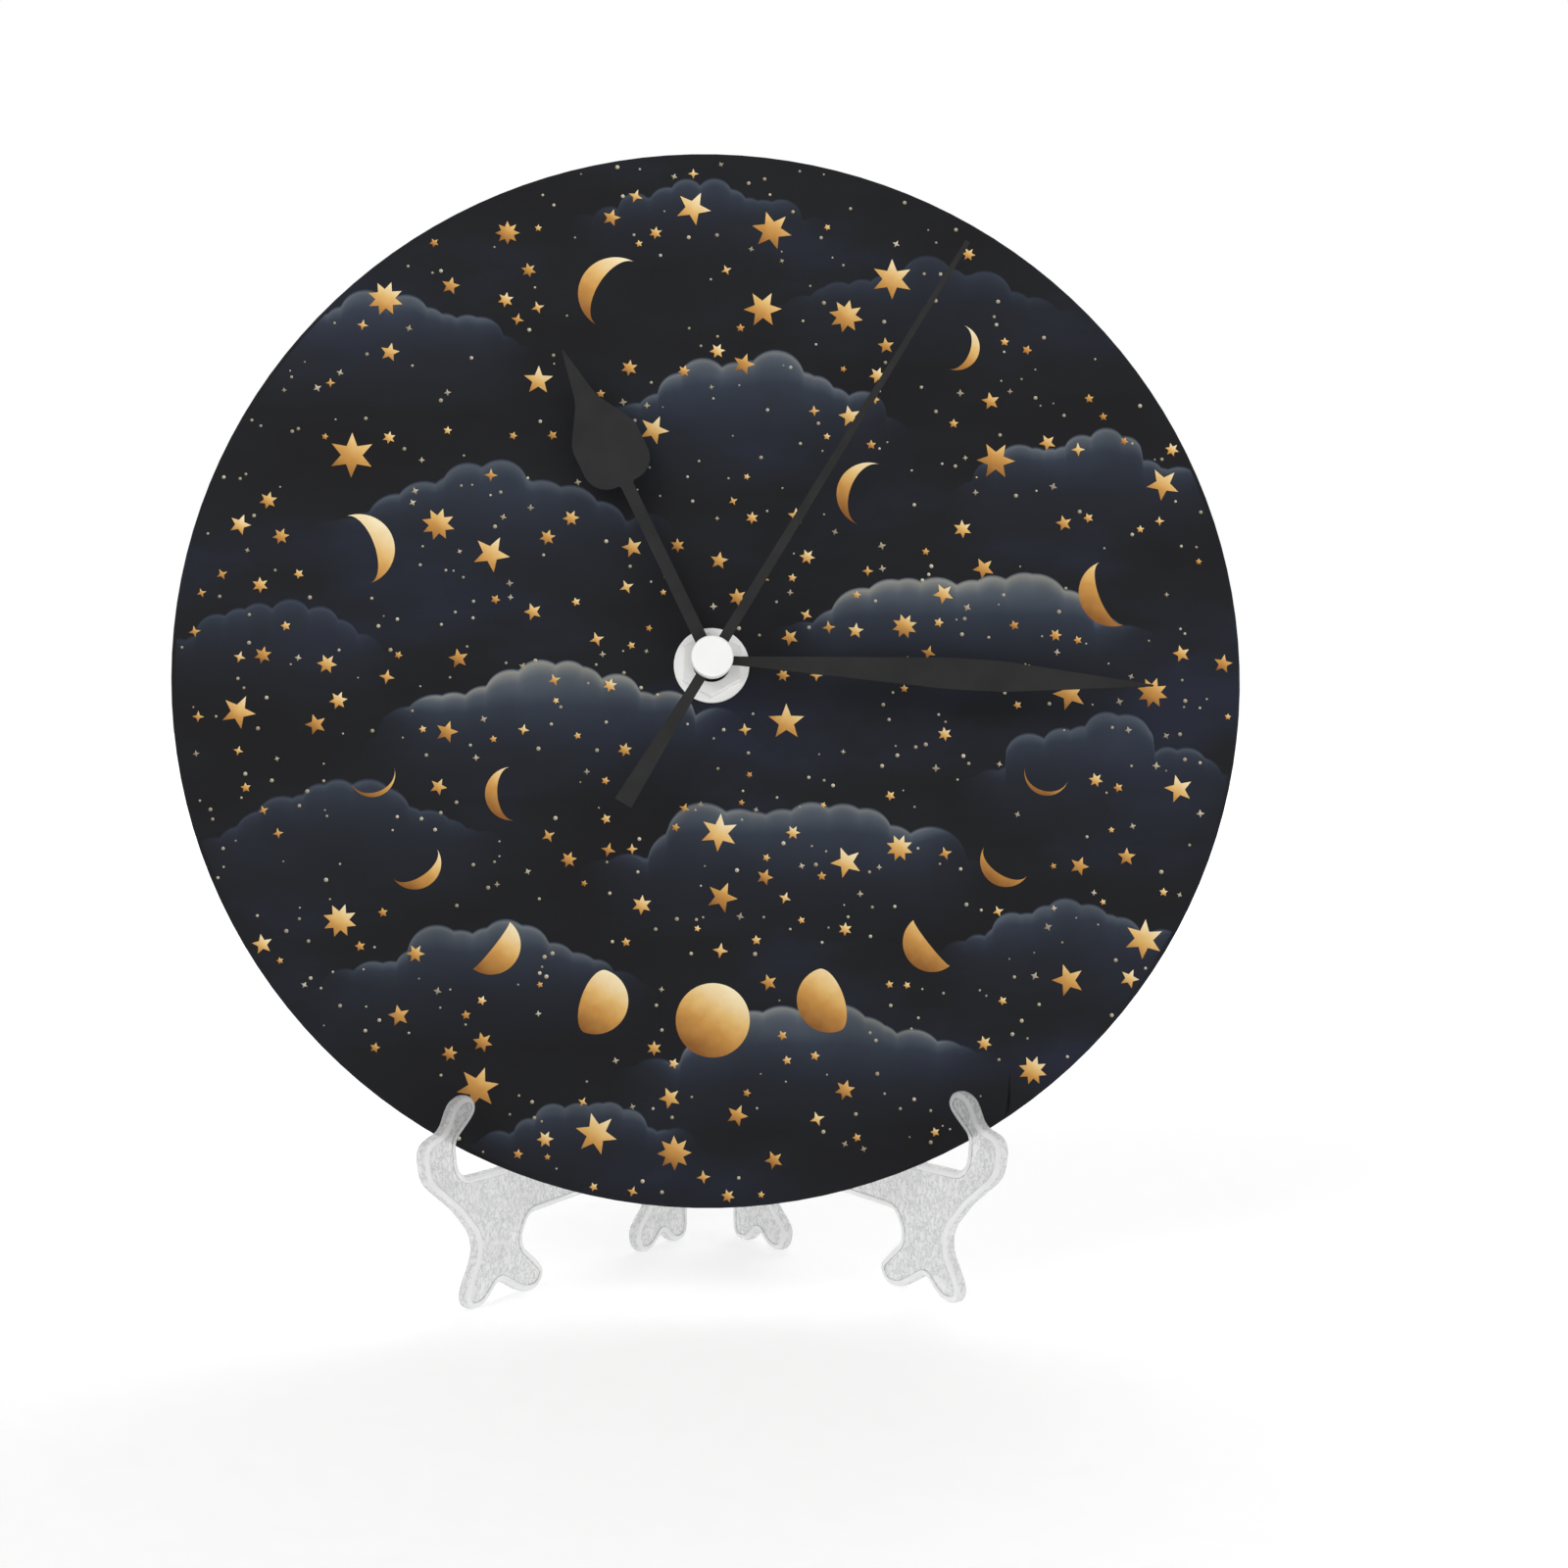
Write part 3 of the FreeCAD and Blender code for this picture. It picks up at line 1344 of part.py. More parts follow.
make_disc()
make_fixing()
make_nut()
make_case()
make_back()
make_cover()
make_train_plate()
make_tray()
make_battery()
make_contacts()
make_circuit()
make_coil()
make_stator()
make_rotor()
make_fifth()
make_seconds()
make_third()
make_centre()
make_minute_tube()
make_hour_wheel()
make_motion_wheel()
make_setting_wheel()
make_knob()
make_hour_and_minute_hands()
make_second_hand()
make_cap()
make_spine()
make_wing("left_wing", -1)
make_wing("right_wing", 1)
finish()
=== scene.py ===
# %% [markdown]
# A round desk clock leans on a clear folding easel. Its working parts come as a fixed frame of
# exact solids, so this script dresses them: it gives every solid a finish, and it builds the
# printed moons, stars and clouds, the pebbled wings and their hinge barrels as new surfaces.
# Starting from the frame keeps every piece where it really sits. The dressed clock has to stay
# inside it.

# %% The frame
import json
import math

import bpy
import numpy as np
from mathutils import Matrix, Vector
from mathutils.geometry import delaunay_2d_cdt


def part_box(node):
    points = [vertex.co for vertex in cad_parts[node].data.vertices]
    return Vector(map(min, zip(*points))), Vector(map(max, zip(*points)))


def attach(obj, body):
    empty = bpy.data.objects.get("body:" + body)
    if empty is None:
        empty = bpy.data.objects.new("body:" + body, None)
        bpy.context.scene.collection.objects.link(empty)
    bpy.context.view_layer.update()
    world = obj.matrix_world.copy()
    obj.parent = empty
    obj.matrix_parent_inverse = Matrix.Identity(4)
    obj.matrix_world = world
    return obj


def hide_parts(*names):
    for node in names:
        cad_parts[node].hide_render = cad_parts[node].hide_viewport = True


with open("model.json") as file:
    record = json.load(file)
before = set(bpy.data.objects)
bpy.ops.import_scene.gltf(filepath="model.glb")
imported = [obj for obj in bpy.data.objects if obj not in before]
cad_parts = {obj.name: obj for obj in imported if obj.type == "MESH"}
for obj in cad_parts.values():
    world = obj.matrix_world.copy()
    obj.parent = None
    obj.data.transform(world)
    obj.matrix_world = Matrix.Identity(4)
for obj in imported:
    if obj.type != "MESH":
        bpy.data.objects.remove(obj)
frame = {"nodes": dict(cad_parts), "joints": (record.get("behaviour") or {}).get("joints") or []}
NODES = frame["nodes"]
JOINTS = {joint["name"]: joint for joint in frame["joints"]}
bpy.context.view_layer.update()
MM = 0.001

# %% [markdown]
# Most pieces belong to the clock, which leans back a little. It is easiest to think of them
# flat on a table, with X to the right, Y up the face and Z out of it. The second hand's joint
# says where the middle of the face is and which way the shaft points, so one matrix takes
# that flat place to the leaning one. Each wing has such a matrix too, from its hinge.

# %% The clock's and the wings' own axes
shaft = JOINTS["second_hand_turn"]
FACE_CENTRE = Vector(shaft["pos_m"])
OUTWARDS = -Vector(shaft["axis"]).normalized()
RIGHT = Vector((1, 0, 0))
UP_THE_FACE = OUTWARDS.cross(RIGHT)


def frame_matrix(origin, along, up):
    """The matrix whose columns are along, up, their cross product, and the origin."""
    return Matrix.Translation(origin) @ Matrix((along, up, along.cross(up))).transposed().to_4x4()


CLOCK = frame_matrix(FACE_CENTRE, RIGHT, UP_THE_FACE)


def wing_matrix(side):
    """Along the wing from its hinge, up, and across its thickness."""
    joint = JOINTS["left_fold" if side < 0 else "right_fold"]
    splay = math.radians(joint["range_deg"][1])
    hinge = Vector(joint["pos_m"])
    hinge.z = 0
    along = Vector((side * math.sin(splay), -math.cos(splay), 0))
    return frame_matrix(hinge, along, Vector((0, 0, 1)))


def placed(matrix, points):
    """Points in millimetres taken into the scene: rotation times point, plus the origin."""
    turn = np.array(matrix.to_3x3())
    return points * MM @ turn.T + np.array(matrix.translation)


print("face centre", [round(value, 4) for value in FACE_CENTRE])
print("wing hinges", JOINTS["left_fold"]["pos_m"], JOINTS["right_fold"]["pos_m"])

# %% [markdown]
# The photograph looks at the clock from straight in front, about forty centimetres away, with
# the camera turned a little right and a little down. A 50 mm lens on a 36 mm wide sensor gives
# its framing from there. Three large soft lamps light the clock from both front sides and
# from behind, at a level where a colour renders about as it is written.

# %% Camera and lamps
CAMERA_PLACE = (-0.0054, -0.4128, 0.1109)
CAMERA_DOWN = math.radians(2.34)
CAMERA_RIGHT = math.radians(2.66)
LAMP_AIM = (0, 0, 0.1)
# Name, place, disc size in metres and power in watts.
LAMPS = (
    ("key_lamp", (-0.75, -0.85, 1.05), 0.8, 5.0),
    ("fill_lamp", (0.95, -0.75, 0.55), 0.9, 2.2),
    ("back_lamp", (0.35, 0.95, 0.95), 0.8, 3.2),
)


def add_camera():
    """The camera at its place, level but for its turns down and right."""
    data = bpy.data.cameras.new("camera")
    data.lens = 50
    data.sensor_width = 36
    camera = bpy.data.objects.new("camera", data)
    camera.location = CAMERA_PLACE
    camera.rotation_euler = (math.pi / 2 - CAMERA_DOWN, 0, -CAMERA_RIGHT)
    bpy.context.scene.collection.objects.link(camera)
    bpy.context.scene.camera = camera


def add_lamp(name, place, size, watts):
    """A round area lamp that shines at the aim."""
    data = bpy.data.lights.new(name, "AREA")
    data.shape = "DISK"
    data.size = size
    data.energy = watts
    lamp = bpy.data.objects.new(name, data)
    lamp.location = place
    lamp.rotation_euler = (Vector(LAMP_AIM) - Vector(place)).to_track_quat("-Z", "Y").to_euler()
    bpy.context.scene.collection.objects.link(lamp)


bpy.context.scene.view_settings.view_transform = "Standard"
add_camera()
for values in LAMPS:
    add_lamp(*values)
print("camera at", CAMERA_PLACE, "with", len(LAMPS), "lamps")

# %% [markdown]
# Every finish is a tree of shader nodes. Small helpers keep those trees readable. The main
# one adds a node with its settings, and with either a value or a link on each input, so links
# and numbers look the same to the reader. The others start a material, place its shader, and
# give it colour ramps, coordinates and colours.

# %% Helpers for shader nodes
def add_node(tree, kind, inputs=None, **settings):
    """A node whose settings are set and whose inputs get either a value or a link."""
    node = tree.nodes.new(kind)
    for name, value in settings.items():
        setattr(node, name, value)
    for name, value in (inputs or {}).items():
        if isinstance(value, bpy.types.NodeSocket):
            tree.links.new(value, node.inputs[name])
        else:
            node.inputs[name].default_value = value
    return node


def new_material(name):
    """A material with an empty tree, ready for a Principled shader."""
    material = bpy.data.materials.new(name)
    material.use_nodes = True
    material.node_tree.nodes.clear()
    return material, material.node_tree


def principled(tree, inputs):
    """The Principled shader with these inputs, joined to the material's output."""
    shader = add_node(tree, "ShaderNodeBsdfPrincipled", inputs)
    add_node(tree, "ShaderNodeOutputMaterial", {"Surface": shader.outputs["BSDF"]})
    return shader


def ramp(tree, factor, stops, interpolation="LINEAR"):
    """A colour ramp through (place, colour) stops; a grey may be one number."""
    node = add_node(tree, "ShaderNodeValToRGB", {"Fac": factor})
    node.color_ramp.interpolation = interpolation
    elements = node.color_ramp.elements
    while len(elements) < len(stops):
        elements.new(0.5)
    for element, (place, tint) in zip(elements, stops):
        element.position = place
        element.color = (tint, tint, tint, 1) if isinstance(tint, float) else (*tint, 1)
    return node.outputs["Color"]


def object_coordinates(tree, matrix=None):
    """Object coordinates, taken into a leaning piece's own axes where a matrix is given."""
    source = add_node(tree, "ShaderNodeTexCoord").outputs["Object"]
    if matrix is None:
        return source
    inputs = {"Vector": source, "Location": matrix.translation, "Rotation": matrix.to_euler()}
    return add_node(tree, "ShaderNodeMapping", inputs, vector_type="TEXTURE").outputs["Vector"]


def colour(code):
    """An sRGB code such as 'd9a75a' as linear values: a power of 2.4 above the dark end."""
    parts = [int(code[start:start + 2], 16) / 255 for start in (0, 2, 4)]
    dark_end = 0.04045
    return tuple(part / 12.92 if part <= dark_end else ((part + 0.055) / 1.055) ** 2.4
                 for part in parts)


print("gold ink is", [round(value, 3) for value in colour("d9a75a")])

# %% [markdown]
# White all round could be made with strong lamps, but that would wash out the clock. The
# world shows white only to camera, glossy and transmitted rays, and a soft grey to the rest.
# The floor's paper glows too, and more the further it lies from the clock, so that it ends in
# the same white while the shadow stays.

# %% World and floor
SOFT_LIGHT = 0.46
FLOOR_HALF = 6.0
FLOOR_LEVEL = -0.00005
# Between these two distances from the clock, in metres, the glow runs from one value to the other.
GLOW_REACH = (0.12, 0.9)
GLOW = (0.42, 0.9)


def white_rays(tree):
    """One where a ray comes from the camera, a reflection or through something clear."""
    path = add_node(tree, "ShaderNodeLightPath")
    inputs = {0: path.outputs["Is Camera Ray"], 1: path.outputs["Is Glossy Ray"]}
    first = add_node(tree, "ShaderNodeMath", inputs, operation="MAXIMUM")
    inputs = {0: first.outputs[0], 1: path.outputs["Is Transmission Ray"]}
    return add_node(tree, "ShaderNodeMath", inputs, operation="MAXIMUM").outputs[0]


def make_world():
    """A white world: strength one for white rays, and the soft light for all others."""
    world = bpy.data.worlds.new("studio")
    world.use_nodes = True
    tree = world.node_tree
    tree.nodes.clear()
    inputs = {"Value": white_rays(tree), "To Min": SOFT_LIGHT, "To Max": 1.0}
    strength = add_node(tree, "ShaderNodeMapRange", inputs)
    inputs = {"Color": (1, 1, 1, 1), "Strength": strength.outputs["Result"]}
    background = add_node(tree, "ShaderNodeBackground", inputs)
    add_node(tree, "ShaderNodeOutputWorld", {"Surface": background.outputs["Background"]})
    bpy.context.scene.world = world


def make_floor():
    """A wide sheet of white paper, a hair under the feet. It glows by the distance from the
    clock, between the glow's two values over the glow's reach."""
    corners = FLOOR_HALF * np.array([(-1, -1), (1, -1), (1, 1), (-1, 1)])
    points = np.c_[corners, np.full(4, FLOOR_LEVEL)]
    mesh = bpy.data.meshes.new("floor")
    mesh.from_pydata(points.tolist(), [], [(0, 1, 2, 3)])
    floor = bpy.data.objects.new("floor", mesh)
    bpy.context.scene.collection.objects.link(floor)
    material, tree = new_material("floor_paper")
    place = object_coordinates(tree)
    noise = add_node(tree, "ShaderNodeTexNoise", {"Vector": place, "Scale": 180.0})
    bump = add_node(tree, "ShaderNodeBump", {"Height": noise.outputs["Fac"], "Distance": 0.0001})
    paper = ramp(tree, noise.outputs["Fac"], [(0.3, 0.80), (0.7, 0.83)])
    away = add_node(tree, "ShaderNodeVectorMath", {0: place}, operation="LENGTH")
    inputs = {"Value": away.outputs["Value"], "From Min": GLOW_REACH[0], "From Max": GLOW_REACH[1]}
    inputs |= {"To Min": GLOW[0], "To Max": GLOW[1]}
    lift = add_node(tree, "ShaderNodeMapRange", inputs, interpolation_type="SMOOTHSTEP")
    inputs = {"Base Color": paper, "Roughness": 0.9, "Normal": bump.outputs["Normal"]}
    inputs |= {"Emission Color": ramp(tree, lift.outputs["Result"], [(0.0, 0.0), (1.0, 1.0)])}
    principled(tree, inputs | {"Emission Strength": 1.0})
    mesh.materials.append(material)


make_world()
make_floor()
print("soft light", SOFT_LIGHT, "and the floor's glow", GLOW)

# %% [markdown]
# Moulded and painted parts share a few small effects, so each is a node group made once.
# Grain is the fine relief that a mould or a paint leaves: two noises, one coarse and one
# fine. Rubbing is the faint streaky polish from handling, a noise stretched along one axis.

# %% Shared effects
def new_group(name, inputs, outputs):
    """A node group. Its inputs are vectors where the default is a tuple, else floats, and
    its outputs are floats except the one named Colour."""
    tree = bpy.data.node_groups.new(name, "ShaderNodeTree")
    for label, default in inputs.items():
        kind = "NodeSocketVector" if isinstance(default, tuple) else "NodeSocketFloat"
        socket = tree.interface.new_socket(label, in_out="INPUT", socket_type=kind)
        socket.default_value = default
    for label in outputs:
        kind = "NodeSocketColor" if label == "Colour" else "NodeSocketFloat"
        tree.interface.new_socket(label, in_out="OUTPUT", socket_type=kind)
    return tree, add_node(tree, "NodeGroupInput").outputs


def close_group(tree, **results):
    """Joins each result to the output of its own name, written with a capital."""
    add_node(tree, "NodeGroupOutput", {name.capitalize(): socket for name, socket in results.items()})
    return tree


def make_grain_group():
    """Height is three parts coarse noise and one part fine; Shade is a slow blotchiness."""
    values = {"Vector": (0.0, 0.0, 0.0), "Scale": 1000.0}
    tree, given = new_group("moulded_grain", values, ("Height", "Shade"))
    inputs = {"Vector": given["Vector"], "Scale": given["Scale"], "Detail": 3.0, "Roughness": 0.6}
    coarse = add_node(tree, "ShaderNodeTexNoise", inputs)
    times = add_node(tree, "ShaderNodeMath", {0: given["Scale"], 1: 3.7}, operation="MULTIPLY")
    inputs = {"Vector": given["Vector"], "Scale": times.outputs[0], "Detail": 1.0}
    fine = add_node(tree, "ShaderNodeTexNoise", inputs)
    inputs = {"Factor": 0.25, "A": coarse.outputs["Fac"], "B": fine.outputs["Fac"]}
    height = add_node(tree, "ShaderNodeMix", inputs)
    slow = add_node(tree, "ShaderNodeMath", {0: given["Scale"], 1: 0.06}, operation="MULTIPLY")
    inputs = {"Vector": given["Vector"], "Scale": slow.outputs[0], "Detail": 2.0}
    blotch = add_node(tree, "ShaderNodeTexNoise", inputs)
    return close_group(tree, height=height.outputs["Result"], shade=blotch.outputs["Fac"])


def make_rubbing_group():
    """Mask is a stretched noise with only its top part kept: thin streaks of handling."""
    tree, given = new_group("handling_rub", {"Vector": (0.0, 0.0, 0.0), "Scale": 400.0}, ("Mask",))
    inputs = {"Vector": given["Vector"], "Rotation": (0.4, 0.2, 0.7), "Scale": (1.0, 0.08, 1.0)}
    stretched = add_node(tree, "ShaderNodeMapping", inputs)
    inputs = {"Vector": stretched.outputs["Vector"], "Scale": given["Scale"], "Detail": 4.0}
    noise = add_node(tree, "ShaderNodeTexNoise", inputs)
    inputs = {"Value": noise.outputs["Fac"], "From Min": 0.52, "From Max": 0.72}
    mask = add_node(tree, "ShaderNodeMapRange", inputs)
    return close_group(tree, mask=mask.outputs["Result"])


GRAIN = make_grain_group()
RUBBING = make_rubbing_group()


def wired_group(tree, group, vector, scale):
    """A group's node with its vector and scale set."""
    return add_node(tree, "ShaderNodeGroup", {"Vector": vector, "Scale": scale}, node_tree=group)


def rubbed(tree, vector, scale, plain, streak):
    """Roughness: the plain value, and the streak's where handling has rubbed the surface."""
    mask = wired_group(tree, RUBBING, vector, scale).outputs["Mask"]
    inputs = {"Value": mask, "To Min": plain, "To Max": streak}
    return add_node(tree, "ShaderNodeMapRange", inputs).outputs["Result"]


print("shared effects", GRAIN.name, RUBBING.name)

# %% [markdown]
# A moulded or painted finish has a colour that drifts slightly, a grain that breaks up its
# highlights, and streaks that are a little glossier. One function makes that kind of finish
# from its own values, so black case, white cap and dark hands differ in numbers alone.

# %% Moulded and painted finishes
def moulded(name, dark, light, scale, relief, rough, metallic=0.0, coat=0.0, subsurface=0.0, shine=0.5):
    """Colour runs from dark to light with the shade; streaks lower the roughness."""
    material, tree = new_material(name)
    vector = object_coordinates(tree)
    fine = wired_group(tree, GRAIN, vector, scale)
    roughness = rubbed(tree, vector, scale * 0.5, rough, rough * 0.86)
    tint = ramp(tree, fine.outputs["Shade"], [(0.3, dark), (0.7, light)])
    inputs = {"Height": fine.outputs["Height"], "Distance": relief * MM}
    bump = add_node(tree, "ShaderNodeBump", inputs)
    inputs = {"Base Color": tint, "Roughness": roughness, "Metallic": metallic}
    inputs |= {"Normal": bump.outputs["Normal"], "Coat Weight": coat, "Specular IOR Level": shine}
    shader = principled(tree, inputs)
    if subsurface:
        shader.inputs["Subsurface Weight"].default_value = subsurface
        shader.inputs["Subsurface Radius"].default_value = (0.0012, 0.0011, 0.001)
    return material


def dress(material, *names):
    """Gives solids of the frame their finish, in place of the one they came with."""
    for name in names:
        data = NODES[name].data
        data.materials.clear()
        data.materials.append(material)
    print(material.name, "on", ", ".join(names))


dress(moulded("white_board", colour("ededeb"), colour("f0f0ee"), 900.0, 0.010, 0.42), "dial_board")
dress(moulded("white_fittings", colour("f2f2f0"), colour("fafaf8"), 1400.0, 0.006, 0.34, subsurface=0.15),
      "fixing_washer", "hex_nut", "hand_cap")
dress(moulded("black_case", colour("08080a"), colour("0d0d0e"), 1500.0, 0.030, 0.55, shine=0.1),
      "movement_case", "movement_back", "battery_tray", "setting_knob", "setting_wheel")
dress(moulded("inner_frame", colour("2a2b2d"), colour("343538"), 1300.0, 0.020, 0.55), "train_plate")
dress(moulded("gasket_rubber", colour("101010"), colour("1b1b1b"), 2500.0, 0.020, 0.85, shine=0.2),
      "rubber_gasket")
dress(moulded("hand_paint", colour("2a2a2a"), colour("303030"), 2600.0, 0.010, 0.66, shine=0.08),
      "hour_hand", "minute_hand", "second_hand")
dress(moulded("white_gears", colour("dcdad2"), colour("ecebe5"), 1800.0, 0.010, 0.4, subsurface=0.3),
      "seconds_wheel", "fifth_wheel", "third_wheel", "centre_wheel", "rotor_pinion", "hour_wheel",
      "motion_wheel", "coil_bobbin")
dress(moulded("sintered_magnet", colour("2c2c2f"), colour("3d3d41"), 3000.0, 0.030, 0.5, 0.6),
      "rotor_magnet")
dress(moulded("poured_resin", colour("080808"), colour("111111"), 500.0, 0.020, 0.18, coat=0.4),
      "chip_resin")

# %% [markdown]
# Metal parts are turned, drawn or rolled, and each leaves fine lines along its length or
# round its axis. Noise stretched along one axis gives such lines, on the roughness and on
# the relief, and the shader is metallic.

# %% Metal finishes
def lined_metal(name, dark, light, stretch, rough, matrix=CLOCK):
    """Lines come from noise stretched by one over the given scale along each axis."""
    material, tree = new_material(name)
    inputs = {"Vector": object_coordinates(tree, matrix), "Scale": stretch}
    along = add_node(tree, "ShaderNodeMapping", inputs)
    inputs = {"Vector": along.outputs["Vector"], "Scale": 900.0, "Detail": 3.0}
    lines = add_node(tree, "ShaderNodeTexNoise", inputs).outputs["Fac"]
    tint = ramp(tree, lines, [(0.3, dark), (0.7, light)])
    inputs = {"Value": lines, "To Min": rough * 0.7, "To Max": rough * 1.3}
    roughness = add_node(tree, "ShaderNodeMapRange", inputs)
    bump = add_node(tree, "ShaderNodeBump", {"Height": lines, "Distance": 0.000008})
    inputs = {"Base Color": tint, "Metallic": 1.0, "Roughness": roughness.outputs["Result"]}
    principled(tree, inputs | {"Normal": bump.outputs["Normal"]})
    return material


dress(lined_metal("plated_steel", colour("a9a9a6"), colour("c9c9c6"), (0.1, 2.0, 2.0), 0.3),
      "positive_contact", "negative_contact", "quartz_crystal")
dress(lined_metal("rolled_iron", colour("8d8e90"), colour("b0b1b3"), (2.0, 0.1, 2.0), 0.38),
      "coil_core", "stator")
dress(lined_metal("turned_brass", colour("b98f45"), colour("d8b46c"), (1.0, 1.0, 4.0), 0.3),
      "minute_pinion")

# %% [markdown]
# Behind the window there are a few things that are neither moulded nor plain metal: the
# smoked window itself, the cell in its sleeve, the coil's enamelled wire, and the circuit
# board with its tracks. Each pattern is worked out along the clock's own axes.

# %% Window, cell, winding and circuit
def smoked_window():
    """Clear plastic with a faint grey tint, glossy but for the streaks of handling."""
    material, tree = new_material("smoked_window")
    vector = object_coordinates(tree, CLOCK)
    roughness = rubbed(tree, vector, 700.0, 0.04, 0.12)
    shade = wired_group(tree, GRAIN, vector, 300.0).outputs["Shade"]
    tint = ramp(tree, shade, [(0.3, 0.84), (0.7, 0.88)])
    inputs = {"Base Color": tint, "Roughness": roughness, "IOR": 1.49}
    principled(tree, inputs | {"Transmission Weight": 1.0, "Specular IOR Level": 0.3})
    return material


def along_x(tree, low, high):
    """Zero at one end of a piece and one at the other."""
    parts = add_node(tree, "ShaderNodeSeparateXYZ", {"Vector": object_coordinates(tree)})
    inputs = {"Value": parts.outputs["X"], "From Min": low, "From Max": high}
    return add_node(tree, "ShaderNodeMapRange", inputs).outputs["Result"]


def cell_sleeve():
    """Bare steel at both ends, a dark sleeve between them and a grey band near the nub."""
    material, tree = new_material("cell_sleeve")
    low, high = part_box("battery_cell")
    share = along_x(tree, low.x, high.x)
    steel = colour("b9b9b6")
    dark, pale = colour("26282b"), colour("8b8e91")
    stops = [(0.0, steel), (0.012, dark), (0.74, pale), (0.80, dark), (0.972, steel)]
    tint = ramp(tree, share, stops, "CONSTANT")
    bare = ramp(tree, share, [(0.0, 1.0), (0.012, 0.0), (0.972, 1.0)], "CONSTANT")
    roughness = rubbed(tree, object_coordinates(tree), 300.0, 0.3, 0.42)
    bump = add_node(tree, "ShaderNodeBump", {"Height": bare, "Distance": 0.00005, "Strength": 0.4})
    inputs = {"Base Color": tint, "Metallic": bare, "Roughness": roughness}
    principled(tree, inputs | {"Normal": bump.outputs["Normal"]})
    return material


def copper_winding():
    """Wire beside wire: a wave across the coil with one crest every fifth of a millimetre."""
    material, tree = new_material("copper_winding")
    vector = object_coordinates(tree, CLOCK)
    inputs = {"Vector": vector, "Scale": 1570.0, "Distortion": 0.6, "Detail Scale": 0.2}
    wires = add_node(tree, "ShaderNodeTexWave", inputs, bands_direction="Y").outputs["Fac"]
    # Painted shade and light: darker copper in the grooves between the wires, paler on their crests.
    tint = ramp(tree, wires, [(0.1, colour("7c3d1e")), (0.8, colour("d98c5e"))])
    bump = add_node(tree, "ShaderNodeBump", {"Height": wires, "Distance": 0.00006})
    inputs = {"Base Color": tint, "Metallic": 0.75, "Roughness": 0.35, "Normal": bump.outputs["Normal"]}
    principled(tree, inputs)
    return material


def circuit_laminate():
    """Tracks are the joints of a brick pattern, under the green mask."""
    material, tree = new_material("circuit_laminate")
    vector = object_coordinates(tree, CLOCK)
    inputs = {"Vector": vector, "Scale": 100.0, "Mortar Size": 0.012}
    inputs |= {"Brick Width": 0.7, "Row Height": 0.16}
    inputs |= {"Color1": (0.0, 0.0, 0.0, 1), "Color2": (0.1, 0.1, 0.1, 1), "Mortar": (1.0, 1.0, 1.0, 1)}
    tracks = add_node(tree, "ShaderNodeTexBrick", inputs, offset=0.35).outputs["Color"]
    tint = ramp(tree, tracks, [(0.0, colour("1d3d27")), (1.0, colour("4f7a52"))])
    bump = add_node(tree, "ShaderNodeBump", {"Height": tracks, "Distance": 0.00003})
    inputs = {"Base Color": tint, "Roughness": 0.35, "Normal": bump.outputs["Normal"]}
    principled(tree, inputs | {"Coat Weight": 0.2})
    return material


dress(smoked_window(), "window_cover")
dress(cell_sleeve(), "battery_cell")
dress(copper_winding(), "coil_winding")
dress(circuit_laminate(), "circuit_board")

# %% [markdown]
# The face is a matt print of a night sky. The sky itself is nearly black and never quite
# even: it has broad drifts of slightly bluer ink, and the fine dither of a printed sheet.
# Both film and clouds need this colour, because a cloud fades into it, so it is a group.

# %% The printed sky
def make_sky_group():
    """Wide drifts of bluer ink, times a dither that wanders by eight per cent."""
    tree, given = new_group("night_sky", {"Vector": (0.0, 0.0, 0.0)}, ("Colour", "Height"))
    wide = add_node(tree, "ShaderNodeMapping", {"Vector": given["Vector"], "Scale": (1.0, 2.2, 1.0)})
    inputs = {"Vector": wide.outputs["Vector"], "Scale": 16.0, "Detail": 5.0, "Roughness": 0.55}
    drift = add_node(tree, "ShaderNodeTexNoise", inputs).outputs["Fac"]
    stops = [(0.38, colour("1a1a1c")), (0.52, colour("1d1e21")), (0.68, colour("242734"))]
    ink = ramp(tree, drift, stops)
    dots = wired_group(tree, GRAIN, given["Vector"], 2600.0).outputs["Height"]
    dither = add_node(tree, "ShaderNodeMapRange", {"Value": dots, "To Min": 0.92, "To Max": 1.08})
    inputs = {0: 1.0, 6: ink, 7: dither.outputs["Result"]}
    tinted = add_node(tree, "ShaderNodeMix", inputs, data_type="RGBA", blend_type="MULTIPLY")
    return close_group(tree, colour=tinted.outputs[2], height=dots)


SKY = make_sky_group()


def matt_print(tree, tint, height):
    """Ink on paper: rough, with hardly any shine."""
    bump = add_node(tree, "ShaderNodeBump", {"Height": height, "Distance": 0.000004})
    inputs = {"Base Color": tint, "Roughness": 0.65, "Specular IOR Level": 0.1}
    principled(tree, inputs | {"Normal": bump.outputs["Normal"]})


def sky_group(tree, vector):
    """The night sky's node on these coordinates."""
    return add_node(tree, "ShaderNodeGroup", {"Vector": vector}, node_tree=SKY)


def printed_sky():
    """Nothing but the sky, on the film's whole front."""
    material, tree = new_material("sky_print")
    sky = sky_group(tree, object_coordinates(tree, CLOCK))
    matt_print(tree, sky.outputs["Colour"], sky.outputs["Height"])
    return material


dress(printed_sky(), "dial_print")

# %% [markdown]
# Moons, stars and clouds are inked on the film. Painting them in the shader would need
# hundreds of nodes, and an image isn't wanted, so each is a flat shape a few hundredths of a
# millimetre proud of the film. Its edge is then sharp at any zoom, and the tone of its ink,
# low in the shade and high where light would fall, is a value stored at its points. All of
# these shapes are worked out flat, in millimetres, and collected in one mesh for each ink.

# %% Helpers for inked shapes
# The inks' height over the film and the radius that they stay within.
INK_LEVEL = 0.045
FACE_EDGE = 99.3
